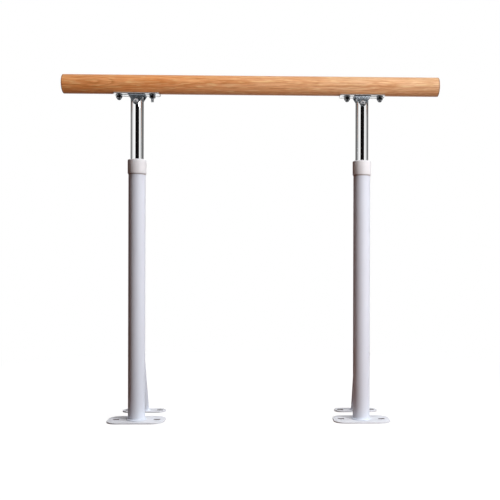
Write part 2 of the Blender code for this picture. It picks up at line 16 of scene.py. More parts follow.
import bmesh
import bpy
from bmesh.types import BMesh, BMVert
from bpy.types import Material, Node, NodeSocket, NodeTree, Object
from mathutils import Matrix, Vector

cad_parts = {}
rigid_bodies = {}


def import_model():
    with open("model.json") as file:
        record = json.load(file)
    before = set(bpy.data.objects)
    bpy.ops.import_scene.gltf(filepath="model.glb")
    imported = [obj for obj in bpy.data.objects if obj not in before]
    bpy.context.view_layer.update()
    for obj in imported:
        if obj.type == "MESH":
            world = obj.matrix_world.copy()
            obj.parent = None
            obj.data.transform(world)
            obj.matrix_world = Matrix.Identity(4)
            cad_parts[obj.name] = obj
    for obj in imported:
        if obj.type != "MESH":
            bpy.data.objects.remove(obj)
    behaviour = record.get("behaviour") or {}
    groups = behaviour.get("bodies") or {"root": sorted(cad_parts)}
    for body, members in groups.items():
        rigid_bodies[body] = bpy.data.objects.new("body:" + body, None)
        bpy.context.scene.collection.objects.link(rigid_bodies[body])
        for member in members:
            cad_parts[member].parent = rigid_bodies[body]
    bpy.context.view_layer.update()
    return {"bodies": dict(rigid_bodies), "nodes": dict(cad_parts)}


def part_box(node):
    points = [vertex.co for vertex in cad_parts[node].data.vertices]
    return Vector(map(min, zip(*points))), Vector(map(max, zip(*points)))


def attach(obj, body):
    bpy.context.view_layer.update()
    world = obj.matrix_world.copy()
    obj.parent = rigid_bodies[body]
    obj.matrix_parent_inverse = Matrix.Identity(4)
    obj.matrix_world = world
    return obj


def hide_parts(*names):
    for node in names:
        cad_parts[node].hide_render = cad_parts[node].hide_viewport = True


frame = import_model()

LOG = logging.getLogger("ballet_barre")

Colour = tuple[float, float, float]
Stop = tuple[float, float]

WHITE = (1.0, 1.0, 1.0)
FULL_TURN = 2 * math.pi
QUARTER_TURN = math.pi / 2
MERGE_DISTANCE = 0.000001
LEVEL_TOLERANCE = 0.00001
SMOOTH_ANGLE = math.radians(35.0)
SHARP_ANGLE = math.radians(60.0)
FLAT_ANGLE = math.radians(1.0)

# Steps in a rounded corner and a softened edge, and sides of holes, bores and turned parts.
ROUND_STEPS = 5
EDGE_STEPS = 3
HOLE_SIDES = 32
BORE_SIDES = 48
TURNED_SIDES = 64

# How far a cutting tool reaches past what it cuts.
CUT_REACH = 0.004

# A nut's chamfer: its slope, the radius of the face inside it as a share of the width across
# flats, and how far outside the corners it starts.
NUT_CHAMFER = math.radians(30.0)
NUT_FACE = 0.47
NUT_MARGIN = 0.001

# Clearances that the model keeps, repeated here for the finer meshes.
SEAT_GAP = 0.0003
HOLE_PLAY = 0.0003

# A thread's depth, half its crest and half its foot, as shares of its pitch.
THREAD_DEPTH = 0.6
THREAD_CREST = 0.08
THREAD_FOOT = 0.42

# How far apart the two floor-screw slots of each base plate stand, and how long and wide they are.
SLOT_SPACING = {"front_plate": 0.108, "rear_plate": 0.087}
SLOT_SIZE = (0.016, 0.0095)


class Side(Enum):
    """The two legs, named as the camera sees them."""

    LEFT = "left"
    RIGHT = "right"

    def node(self, part: str) -> str:
        """Return the name of this side's node for a part."""
        return f"{self.value}_{part}"


class Body(Enum):
    """The bodies of the model that pieces ride on."""

    BASE = "base"
    RAIL = "rail"
    LEFT_RISER = "left_riser"
    RIGHT_RISER = "right_riser"
    LEFT_SCREW = "left_screw"
    RIGHT_SCREW = "right_screw"


class Slot(Enum):
    """The record's material slots, which pieces are named with but which nothing here assigns."""

    WOOD = "wood"
    PAINT = "white_paint"
    CHROME = "chrome"
    ZINC = "zinc"


class Cut(Enum):
    """What a Boolean does with two shapes."""

    AWAY = "DIFFERENCE"
    KEEP = "INTERSECT"
    JOIN = "UNION"


class Mix(Enum):
    """How one colour is laid over another."""

    PLAIN = "MIX"
    MULTIPLY = "MULTIPLY"
    SCREEN = "SCREEN"


class Lie(Enum):
    """How a shape modelled along Z is laid, as the angle and the axis of a turn."""

    UPRIGHT = (0.0, "Z")
    ALONG_X = (QUARTER_TURN, "Y")
    ALONG_Y = (-QUARTER_TURN, "X")

    def matrix(self) -> Matrix:
        """Return the turn that lays a shape this way."""
        angle, axis = self.value
        return Matrix.Rotation(angle, 4, axis)


@dataclass(frozen=True)
class Extent:
    """The box that a node fills at rest."""

    low: Vector
    high: Vector

    @classmethod
    def of(cls, node: str) -> "Extent":
        """Measure a node of the model."""
        return cls(*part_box(node))

    @property
    def centre(self) -> Vector:
        """The middle of the box."""
        return (self.low + self.high) / 2

    @property
    def size(self) -> Vector:
        """The box's three sides."""
        return self.high - self.low

    def at(self, height: float) -> Vector:
        """Return the point at a height on the box's upright axis."""
        return Vector((*self.centre.xy, height))


@dataclass(frozen=True)
class Turn:
    """One point of a turned profile, with the radius of the rounding at that corner."""

    radius: float
    height: float
    rounding: float = 0.0


def slot_centres(side: Side, part: str) -> list[Vector]:
    """Return the middles of a base plate's two slots."""
    centre = Extent.of(side.node(part)).centre
    return [centre + Vector((sign * SLOT_SPACING[part] / 2, 0.0, 0.0)) for sign in (-1, 1)]


def round_angles(count: int) -> list[float]:
    """Return evenly spread angles, a full turn in all."""
    return [FULL_TURN * index / count for index in range(count)]


def moved_verts(extruded: dict) -> list[BMVert]:
    """Return the vertices that an extrusion made."""
    return [item for item in extruded["geom"] if isinstance(item, BMVert)]


def wire(points: Sequence[Sequence[float]], closed: bool) -> tuple[BMesh, list[BMVert]]:
    """Start a shape as a chain of edges.

    Args:
        points: the chain's points, in order.
        closed: whether the last point joins the first.

    Returns:
        The shape, and its vertices in the same order.
    """
    shape = bmesh.new()
    verts = [shape.verts.new(point) for point in points]
    for pair in zip(verts, verts[1:] + (verts[:1] if closed else [])):
        shape.edges.new(pair)
    return shape, verts


def round_corners(shape: BMesh, verts: list[BMVert], offset: float, segments: int = ROUND_STEPS) -> None:
    """Round corners of a profile or of a flat outline."""
    bmesh.ops.bevel(
        shape, geom=verts, offset=offset, offset_type="OFFSET", segments=segments, profile=0.5,
        affect="VERTICES", material=-1,
    )


def turned(profile: Sequence[Turn], sides: int, ring: bool = False) -> BMesh:
    """Turn a profile about Z, as on a lathe.

    Args:
        profile: the profile's corners, in order.
        sides: how many steps the full turn takes.
        ring: whether the profile closes on itself, as a tube's wall does.

    Returns:
        A closed shape.
    """
    shape, verts = wire([(corner.radius, 0.0, corner.height) for corner in profile], ring)
    for corner, vert in zip(profile, verts):
        if corner.rounding:
            round_corners(shape, [vert], corner.rounding)
    bmesh.ops.spin(
        shape, geom=shape.verts[:] + shape.edges[:], cent=(0.0, 0.0, 0.0), axis=(0.0, 0.0, 1.0),
        angle=FULL_TURN, steps=sides, use_merge=True,
    )
    bmesh.ops.remove_doubles(shape, verts=shape.verts, dist=MERGE_DISTANCE)
    bmesh.ops.recalc_face_normals(shape, faces=shape.faces)
    return shape


def rod(radius: float, low: float, high: float, sides: int, rounding: float = 0.0) -> BMesh:
    """Return a solid round bar along Z, its end edges rounded if asked."""
    profile = (Turn(0.0, low), Turn(radius, low, rounding), Turn(radius, high, rounding), Turn(0.0, high))
    return turned(profile, sides)


def tube(outer: float, inner: float, low: float, high: float, sides: int, rounding: float = 0.0) -> BMesh:
    """Return a length of tube along Z, its outer end edges rounded if asked."""
    profile = (Turn(inner, low), Turn(outer, low, rounding), Turn(outer, high, rounding), Turn(inner, high))
    return turned(profile, sides, ring=True)


def raise_faces(shape: BMesh, height: float) -> BMesh:
    """Extrude a flat shape upwards into a closed prism.

    Args:
        shape: the flat shape, changed in place.
        height: how far it is raised.

    Returns:
        The same shape.
    """
    extruded = bmesh.ops.extrude_face_region(shape, geom=shape.faces[:])
    bmesh.ops.translate(shape, verts=moved_verts(extruded), vec=(0.0, 0.0, height))
    bmesh.ops.recalc_face_normals(shape, faces=shape.faces)
    return shape


def slab(length: float, depth: float, height: float, corner: float) -> BMesh:
    """Make a flat plate with rounded corners, centred on Z and standing on the XY plane.

    Args:
        length: its size along X.
        depth: its size along Y.
        height: its thickness.
        corner: the radius of its corners.

    Returns:
        The plate.
    """
    shape = bmesh.new()
    bmesh.ops.create_grid(shape, x_segments=1, y_segments=1, size=0.5)
    bmesh.ops.scale(shape, vec=(length, depth, 1.0), verts=shape.verts)
    round_corners(shape, shape.verts[:], corner, 2 * ROUND_STEPS)
    bmesh.ops.remove_doubles(shape, verts=shape.verts, dist=MERGE_DISTANCE)
    return raise_faces(shape, height)


def hexagon_bar(across_flats: float, height: float) -> BMesh:
    """Make a hexagonal bar along Z with a flat facing the front.

    Args:
        across_flats: its width from flat to flat.
        height: its length.

    Returns:
        The bar, standing on the XY plane.
    """
    shape = bmesh.new()
    bmesh.ops.create_circle(shape, cap_ends=True, segments=6, radius=across_flats / math.sqrt(3))
    bmesh.ops.rotate(shape, matrix=Matrix.Rotation(FULL_TURN / 12, 3, "Z"), verts=shape.verts)
    return raise_faces(shape, height)


def soften(shape: BMesh, width: float, level: float) -> None:
    """Round a shape's sharp edges at one level.

    Args:
        shape: the shape, changed in place.
        width: how far the rounding reaches from each edge.
        level: the height that the edges lie at.
    """
    chosen = []
    for edge in shape.edges:
        is_level = all(abs(vert.co.z - level) < LEVEL_TOLERANCE for vert in edge.verts)
        if is_level and len(edge.link_faces) == 2 and edge.calc_face_angle() >= SHARP_ANGLE:
            chosen.append(edge)
    bmesh.ops.bevel(
        shape, geom=chosen, offset=width, offset_type="OFFSET", segments=EDGE_STEPS, profile=0.5,
        affect="EDGES", clamp_overlap=True, material=-1,
    )


def placed(shape: BMesh, place: Sequence[float], lie: Lie = Lie.UPRIGHT) -> BMesh:
    """Lay a shape one way and move it to its place.

    Args:
        shape: the shape, changed in place.
        place: where its origin goes.
        lie: how it is laid.

    Returns:
        The same shape.
    """
    matrix = Matrix.Translation(Vector(place)) @ lie.matrix()
    bmesh.ops.transform(shape, matrix=matrix, verts=shape.verts)
    return shape


def mesh_of(shape: BMesh, name: str = "work") -> bpy.types.Mesh:
    """Turn a shape into a mesh.

    Args:
        shape: the shape, used up here.
        name: the mesh's name.

    Returns:
        The mesh.
    """
    mesh = bpy.data.meshes.new(name)
    shape.to_mesh(mesh)
    shape.free()
    return mesh


def linked(name: str, data: bpy.types.ID) -> Object:
    """Put a mesh, curve, light or camera into the scene.

    Args:
        name: the object's name.
        data: what it shows.

    Returns:
        The object.
    """
    thing = bpy.data.objects.new(name, data)
    bpy.context.scene.collection.objects.link(thing)
    return thing


def read_back(thing: Object) -> BMesh:
    """Read an object's evaluated mesh.

    Args:
        thing: the object.

    Returns:
        The mesh as a shape.
    """
    depsgraph = bpy.context.evaluated_depsgraph_get()
    mesh = bpy.data.meshes.new_from_object(thing.evaluated_get(depsgraph))
    shape = bmesh.new()
    shape.from_mesh(mesh)
    bpy.data.meshes.remove(mesh)
    return shape


def combine(body: BMesh, tool: BMesh, cut: Cut = Cut.AWAY) -> BMesh:
    """Combine two closed shapes with an exact Boolean.

    Args:
        body: the shape that is worked on, used up here.
        tool: the shape that it meets, used up here.
        cut: what happens where they meet.

    Returns:
        The new shape.
    """
    things = [linked("work", mesh_of(shape)) for shape in (body, tool)]
    modifier = things[0].modifiers.new("cut", "BOOLEAN")
    modifier.operation = cut.value
    modifier.object = things[1]
    result = read_back(things[0])
    for thing in things:
        mesh = thing.data
        bpy.data.objects.remove(thing)
        bpy.data.meshes.remove(mesh)
    bmesh.ops.remove_doubles(result, verts=result.verts, dist=MERGE_DISTANCE)
    return result


def join(*shapes: BMesh) -> BMesh:
    """Put several shapes into one, as separate closed shells.

    Args:
        shapes: the shapes, used up here.

    Returns:
        The one shape.
    """
    result = bmesh.new()
    for shape in shapes:
        mesh = mesh_of(shape)
        result.from_mesh(mesh)
        bpy.data.meshes.remove(mesh)
    return result


def thread(radius: float, pitch: float, low: float, high: float, steps: int = 24) -> BMesh:
    """Wind the ridge of a screw thread, to lie round a core.

    Args:
        radius: the thread's outer radius.
        pitch: its rise in one turn.
        low: where it starts.
        high: where it ends.
        steps: how many steps a turn takes.

    Returns:
        The ridge as a closed shape.
    """
    root = radius - THREAD_DEPTH * pitch
    crest = THREAD_CREST * pitch
    foot = THREAD_FOOT * pitch
    start = low + foot
    section = ((root, start - foot), (radius, start - crest), (radius, start + crest), (root, start + foot))
    shape, _ = wire([(across, 0.0, height) for across, height in section], closed=True)
    turns = (high - low - 2 * foot) / pitch
    count = max(1, round(turns * steps))
    bmesh.ops.spin(
        shape, geom=shape.verts[:] + shape.edges[:], cent=(0.0, 0.0, 0.0), axis=(0.0, 0.0, 1.0),
        dvec=(0.0, 0.0, pitch / steps), angle=FULL_TURN * count / steps, steps=count, use_merge=False,
    )
    bmesh.ops.remove_doubles(shape, verts=shape.verts, dist=MERGE_DISTANCE)
    bmesh.ops.holes_fill(shape, edges=shape.edges, sides=4)
    bmesh.ops.recalc_face_normals(shape, faces=shape.faces)
    return shape


def weld_bead(path: Sequence[Vector], radius: float, ripple: float, drop_length: int) -> BMesh:
    """Lay a closed weld bead along a path, with the ripples that each drop of metal leaves.

    Args:
        path: points evenly spread round the joint.
        radius: the bead's radius.
        ripple: how much each drop stands out, as a share of the radius.
        drop_length: how many points of the path a drop covers.

    Returns:
        The bead as a closed shape.
    """
    curve = bpy.data.curves.new("bead", "CURVE")
    curve.dimensions = "3D"
    curve.bevel_depth = radius
    curve.bevel_resolution = 3
    spline = curve.splines.new("POLY")
    spline.points.add(len(path) - 1)
    spline.use_cyclic_u = True
    for index, (point, place) in enumerate(zip(spline.points, path)):
        point.co = (*place, 1.0)
        point.radius = 1.0 + ripple * abs(math.sin(math.pi * index / drop_length))
    thing = linked("bead", curve)
    shape = read_back(thing)
    bpy.data.objects.remove(thing)
    bpy.data.curves.remove(curve)
    bmesh.ops.recalc_face_normals(shape, faces=shape.faces)
    return shape


def nut_body(across_flats: float, height: float) -> BMesh:
    """Make a hexagon nut's outside, standing on the XY plane, with its corners turned off.

    Args:
        across_flats: its width from flat to flat.
        height: its height.

    Returns:
        The nut without its bore.
    """
    corner = across_flats / math.sqrt(3) + NUT_MARGIN
    face = NUT_FACE * across_flats
    rise = (corner - face) * math.tan(NUT_CHAMFER)
    envelope = turned(
        (Turn(0.0, 0.0), Turn(face, 0.0), Turn(corner, rise), Turn(corner, height - rise),
         Turn(face, height), Turn(0.0, height)), TURNED_SIDES,
    )
    return combine(hexagon_bar(across_flats, height), envelope, Cut.KEEP)


def add_piece(shape: BMesh, name: str, body: Body, material: Material,
              stands_for: Sequence[str] = ()) -> None:
    """Make a finished piece of a shape that is already in place.

    Args:
        shape: the piece's mesh, in place, used up here.
        name: the piece's name.
        body: the body that it moves with.
        material: its material.
        stands_for: the nodes that it replaces.
    """
    mesh = mesh_of(shape, name)
    mesh.shade_smooth()
    mesh.set_sharp_from_angle(angle=SMOOTH_ANGLE)
    mesh.materials.clear()
    mesh.materials.append(material)
    piece = linked(name, mesh)
    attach(piece, body.value)
    if stands_for:
        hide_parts(*stands_for)
    LOG.info("%s: %d faces, rides on %s", name, len(mesh.polygons), body.value)


class Graph:
    """Adds nodes to one node tree and joins them."""

    def __init__(self, tree: NodeTree) -> None:
        """Start from an empty tree."""
        self.tree = tree
        tree.nodes.clear()

    def add(self, kind: str, inputs: dict | None = None, **settings: object) -> Node:
        """Add a node.

        Args:
            kind: the node's type.
            inputs: what each input takes, by name or number: a socket to join, or a constant.
            settings: the node's own properties.

        Returns:
            The new node.
        """
        node = self.tree.nodes.new(kind)
        for name, value in settings.items():
            setattr(node, name, value)
        for name, value in (inputs or {}).items():
            self.feed(node.inputs[name], value)
        return node

    def feed(self, socket: NodeSocket, value: object) -> None:
        """Give an input what it takes.

        Args:
            socket: the input.
            value: a socket to join, or a constant, a colour without its alpha.
        """
        if isinstance(value, NodeSocket):
            self.tree.links.new(value, socket)
        else:
            socket.default_value = (*value, 1.0) if socket.type == "RGBA" else value

    def math(self, operation: str, *values: object) -> NodeSocket:
        """Return the result of a Math node."""
        return self.add("ShaderNodeMath", dict(enumerate(values)), operation=operation).outputs[0]

    def vector_math(self, operation: str, *values: object) -> NodeSocket:
        """Return the result of a Vector Math node."""
        node = self.add("ShaderNodeVectorMath", dict(enumerate(values)), operation=operation)
        return node.outputs["Value" if operation in ("LENGTH", "DOT_PRODUCT") else "Vector"]

    def scaled(self, vector: object, factor: object) -> NodeSocket:
        """Return a vector multiplied by a number."""
        return self.add("ShaderNodeVectorMath", {0: vector, "Scale": factor}, operation="SCALE").outputs[0]

    def parts(self, vector: object) -> bpy.types.bpy_prop_collection:
        """Return a vector's X, Y and Z."""
        return self.add("ShaderNodeSeparateXYZ", {0: vector}).outputs

    def remap(self, value: object, low: float, high: float, to_low: float = 0.0,
              to_high: float = 1.0) -> NodeSocket:
        """Return a value moved from one range into another, held at the ends."""
        inputs = {"Value": value, "From Min": low, "From Max": high, "To Min": to_low, "To Max": to_high}
        return self.add("ShaderNodeMapRange", inputs).outputs["Result"]

    def blend(self, factor: object, first: object, second: object, mode: Mix = Mix.PLAIN) -> NodeSocket:
        """Blend two colours.

        Args:
            factor: how much the second one counts.
            first: the colour below.
            second: the colour above.
            mode: how the second is laid over the first.

        Returns:
            The blended colour.
        """
        node = self.add("ShaderNodeMix", data_type="RGBA", blend_type=mode.value, clamp_factor=True)
        for index, value in ((0, factor), (6, first), (7, second)):
            self.feed(node.inputs[index], value)
        return node.outputs[2]

    def tint(self, mask: object, colour: object, tint: Colour, mode: Mix = Mix.MULTIPLY) -> NodeSocket:
        """Return a colour that is tinted where a mask says."""
        return self.blend(mask, colour, self.blend(1.0, colour, tint, mode))

    def coordinates(self, kind: str) -> NodeSocket:
        """Return texture coordinates of a kind."""
        return self.add("ShaderNodeTexCoord").outputs[kind]

    def noise(self, place: object, often: object, **settings: float) -> NodeSocket:
        """Make noise.

        Args:
            place: where it is drawn.
            often: how often it repeats in a metre, as one number or as one for each axis.
            settings: the Noise node's own inputs.

        Returns:
            The noise, about a half on average.
        """
        by_axis = isinstance(often, tuple)
        scaled = self.vector_math("MULTIPLY", place, often) if by_axis else self.scaled(place, often)
        return self.add("ShaderNodeTexNoise", {"Vector": scaled, "Scale": 1.0, **settings}).outputs["Fac"]

    def ramp(self, factor: object, stops: Sequence[Stop]) -> NodeSocket:
        """Make a grey that follows a list of stops.

        Args:
            factor: the place on the ramp.
            stops: the place and the brightness of each stop.

        Returns:
            The grey.
        """
        node = self.add("ShaderNodeValToRGB", {"Fac": factor})
        elements = node.color_ramp.elements
        while len(elements) < len(stops):
            elements.new(0.5)
        for element, (position, level) in zip(elements, stops):
            element.position = position
            element.color = (level, level, level, 1.0)
        return node.outputs["Color"]

    def group(self, tree: NodeTree, **inputs: float | NodeSocket) -> NodeSocket:
        """Return the one output of a node group."""
        return self.add("ShaderNodeGroup", inputs, node_tree=tree).outputs[0]

    def glow(self, colour: object, strength: float = 1.0) -> NodeSocket:
        """Return a shader that shines."""
        return self.add("ShaderNodeEmission", {"Color": colour, "Strength": strength}).outputs[0]

    def matt(self, colour: object) -> NodeSocket:
        """Return a plain matt shader."""
        return self.add("ShaderNodeBsdfDiffuse", {"Color": colour}).outputs[0]

    def mix_shaders(self, share: object, first: NodeSocket, second: NodeSocket) -> NodeSocket:
        """Return two shaders mixed."""
        return self.add("ShaderNodeMixShader", {0: share, 1: first, 2: second}).outputs[0]

    def rays(self) -> tuple[NodeSocket, NodeSocket]:
        """Tell the kinds of ray apart.

        Returns:
            Whether a ray comes from the camera, and whether metal or glass sends it on.
        """
        path = self.add("ShaderNodeLightPath").outputs
        mirrored = self.math("MAXIMUM", path["Is Glossy Ray"], path["Is Transmission Ray"])
        return path["Is Camera Ray"], mirrored


class EffectGroup(Graph):
    """A shader node group at work, which reads a place and gives one number."""

    def __init__(self, name: str, output: str, **inputs: float) -> None:
        """Start the group.

        Args:
            name: the group's name.
            output: the name of its output.
            inputs: the default of each input besides the place.
        """
        tree = bpy.data.node_groups.new(name, "ShaderNodeTree")
        tree.interface.new_socket(name="Place", in_out="INPUT", socket_type="NodeSocketVector")
        for label, default in inputs.items():
            socket = tree.interface.new_socket(name=label, in_out="INPUT", socket_type="NodeSocketFloat")
            socket.default_value = default
        tree.interface.new_socket(name=output, in_out="OUTPUT", socket_type="NodeSocketFloat")
        super().__init__(tree)
        self.inputs = self.add("NodeGroupInput").outputs
        self.output = self.add("NodeGroupOutput").inputs[output]

    def speckle(self, often: str, **settings: float) -> NodeSocket:
        """Return noise that repeats as often as one of the inputs says."""
        return self.noise(self.inputs["Place"], self.inputs[often], **settings)

    def give(self, value: NodeSocket) -> NodeTree:
        """Join the output, and return the finished group."""
        self.feed(self.output, value)
        return self.tree


class Effects:
    """The surface effects that several finishes share, each a node group built once."""

    def __init__(self) -> None:
        """Build all the groups."""
        self.edge_wear = self.build_edge_wear()
        self.handling = self.build_handling()
        self.dust = self.build_dust()
        self.peel = self.build_peel()

    @staticmethod
    def build_edge_wear() -> NodeTree:
        """Find rubbed edges, broken up by noise.

        Returns:
            A group that gives their mask.
        """
        group = EffectGroup("edge_wear", "Mask", Width=0.001, Patch=60.0, Amount=0.5)
        rounded = group.add("ShaderNodeBevel", {"Radius": group.inputs["Width"]}, samples=4)
        plain = group.add("ShaderNodeNewGeometry").outputs["Normal"]
        likeness = group.vector_math("DOT_PRODUCT", rounded.outputs["Normal"], plain)
        broken = group.remap(group.speckle("Patch", Detail=4.0), 0.42, 0.62)
        worn = group.math("MULTIPLY", group.remap(likeness, 0.995, 0.90), broken)
        return group.give(group.math("MULTIPLY", worn, group.inputs["Amount"]))

    @staticmethod
    def build_handling() -> NodeTree:
        """Draw faint smears and wipe marks.

        Returns:
            A group that gives them, from 0 to 1.
        """
        group = EffectGroup("handling_marks", "Marks", Smear=18.0, Wipe=140.0)
        cover = group.remap(group.speckle("Smear", Detail=5.0, Distortion=0.8), 0.45, 0.70)
        texture = group.remap(group.speckle("Wipe", Detail=2.0), 0.30, 0.70, 0.4, 1.0)
        return group.give(group.math("MULTIPLY", cover, texture))

    @staticmethod
    def build_dust() -> NodeTree:
        """Find the dust that settles on faces turned up.

        Returns:
            A group that gives its mask.
        """
        group = EffectGroup("settled_dust", "Mask", Amount=0.3, Grain=300.0)
        normal = group.add("ShaderNodeNewGeometry").outputs["Normal"]
        upward = group.remap(group.parts(normal)["Z"], 0.55, 0.98)
        lumpy = group.remap(group.speckle("Grain", Detail=6.0, Roughness=0.7), 0.35, 0.75)
        settled = group.math("MULTIPLY", upward, lumpy)
        return group.give(group.math("MULTIPLY", settled, group.inputs["Amount"]))

    @staticmethod
    def build_peel() -> NodeTree:
        """Raise the fine dimples in a sprayed, baked or moulded skin.

        Returns:
            A group that gives their height.
        """
        group = EffectGroup("orange_peel", "Height", Cells=500.0, Swell=0.35)
        cells = {"Vector": group.scaled(group.inputs["Place"], group.inputs["Cells"]), "Scale": 1.0}
        dimples = group.add("ShaderNodeTexVoronoi", cells, feature="SMOOTH_F1").outputs["Distance"]
        swell = group.speckle("Cells", Scale=0.3, Detail=1.0)
        return group.give(group.math("MULTIPLY_ADD", swell, group.inputs["Swell"], dimples))


class Surface(Graph):
    """A material with one shader, at work."""

    def __init__(self, name: str, effects: Effects, constants: dict[str, float]) -> None:
        """Start the material.

        Args:
            name: the material's name.
            effects: the shared surface effects.
            constants: the shader's inputs that are the same all over.
        """
        self.material = bpy.data.materials.new(name)
        self.material.use_nodes = True
        super().__init__(self.material.node_tree)
        self.effects = effects
        self.shader = self.add("ShaderNodeBsdfPrincipled", constants)
        self.add("ShaderNodeOutputMaterial", {"Surface": self.shader.outputs["BSDF"]})
        self.place = self.coordinates("Object")

    def worn(self, width: float, patch: float, amount: float) -> NodeSocket:
        """Return the mask of rubbed edges."""
        return self.group(self.effects.edge_wear, Place=self.place, Width=width, Patch=patch, Amount=amount)

    def marks(self, smear: float, wipe: float) -> NodeSocket:
        """Return the smears and wipe marks of handling."""
        return self.group(self.effects.handling, Place=self.place, Smear=smear, Wipe=wipe)

    def settled(self, amount: float, grain: float) -> NodeSocket:
        """Return the mask of settled dust."""
        return self.group(self.effects.dust, Place=self.place, Amount=amount, Grain=grain)

    def dimples(self, cells: float, swell: float) -> NodeSocket:
        """Return the height of the skin's dimples."""
        return self.group(self.effects.peel, Place=self.place, Cells=cells, Swell=swell)

    def facing(self, axis: str) -> NodeSocket:
        """Return how squarely the surface faces along an axis, either way."""
        return self.math("ABSOLUTE", self.parts(self.coordinates("Normal"))[axis])

    def finish(self, colour: NodeSocket, roughness: NodeSocket, height: NodeSocket, strength: float,
               distance: float) -> Material:
        """Join what varies over the surface to the shader.

        Args:
            colour: the base colour.
            roughness: the roughness.
            height: the relief.
            strength: how strongly the relief shows.
            distance: how deep it is.

        Returns:
            The material.
        """
        relief = self.add("ShaderNodeBump", {"Height": height, "Strength": strength, "Distance": distance})
        for name, value in (("Base Color", colour), ("Roughness", roughness), ("Normal", relief.outputs[0])):
            self.feed(self.shader.inputs[name], value)
        return self.material


class Grain(Enum):
    """The wood's patterns: how often each repeats a metre along and across, its detail and roughness."""

    FIBRE = (9.0, 620.0, 3.0, 0.6)
    STREAK = (3.5, 260.0, 2.0, 0.55)
    FLECK = (26.0, 430.0, 1.0, 0.5)
    PORE = (45.0, 1500.0, 1.0, 0.5)
    CLOUD = (5.0, 22.0, 2.0, 0.5)

    def draw(self, surface: Surface) -> NodeSocket:
        """Return the pattern over the rail."""
        along, across, detail, roughness = self.value
        return surface.noise(surface.place, (along, across, across), Detail=detail, Roughness=roughness)


@dataclass(frozen=True)
class Veil:
    """A tint over the wood, which comes in where a pattern runs from start to end."""

    grain: Grain
    start: float
    end: float
    strength: float
    tint: Colour
    mode: Mix = Mix.MULTIPLY


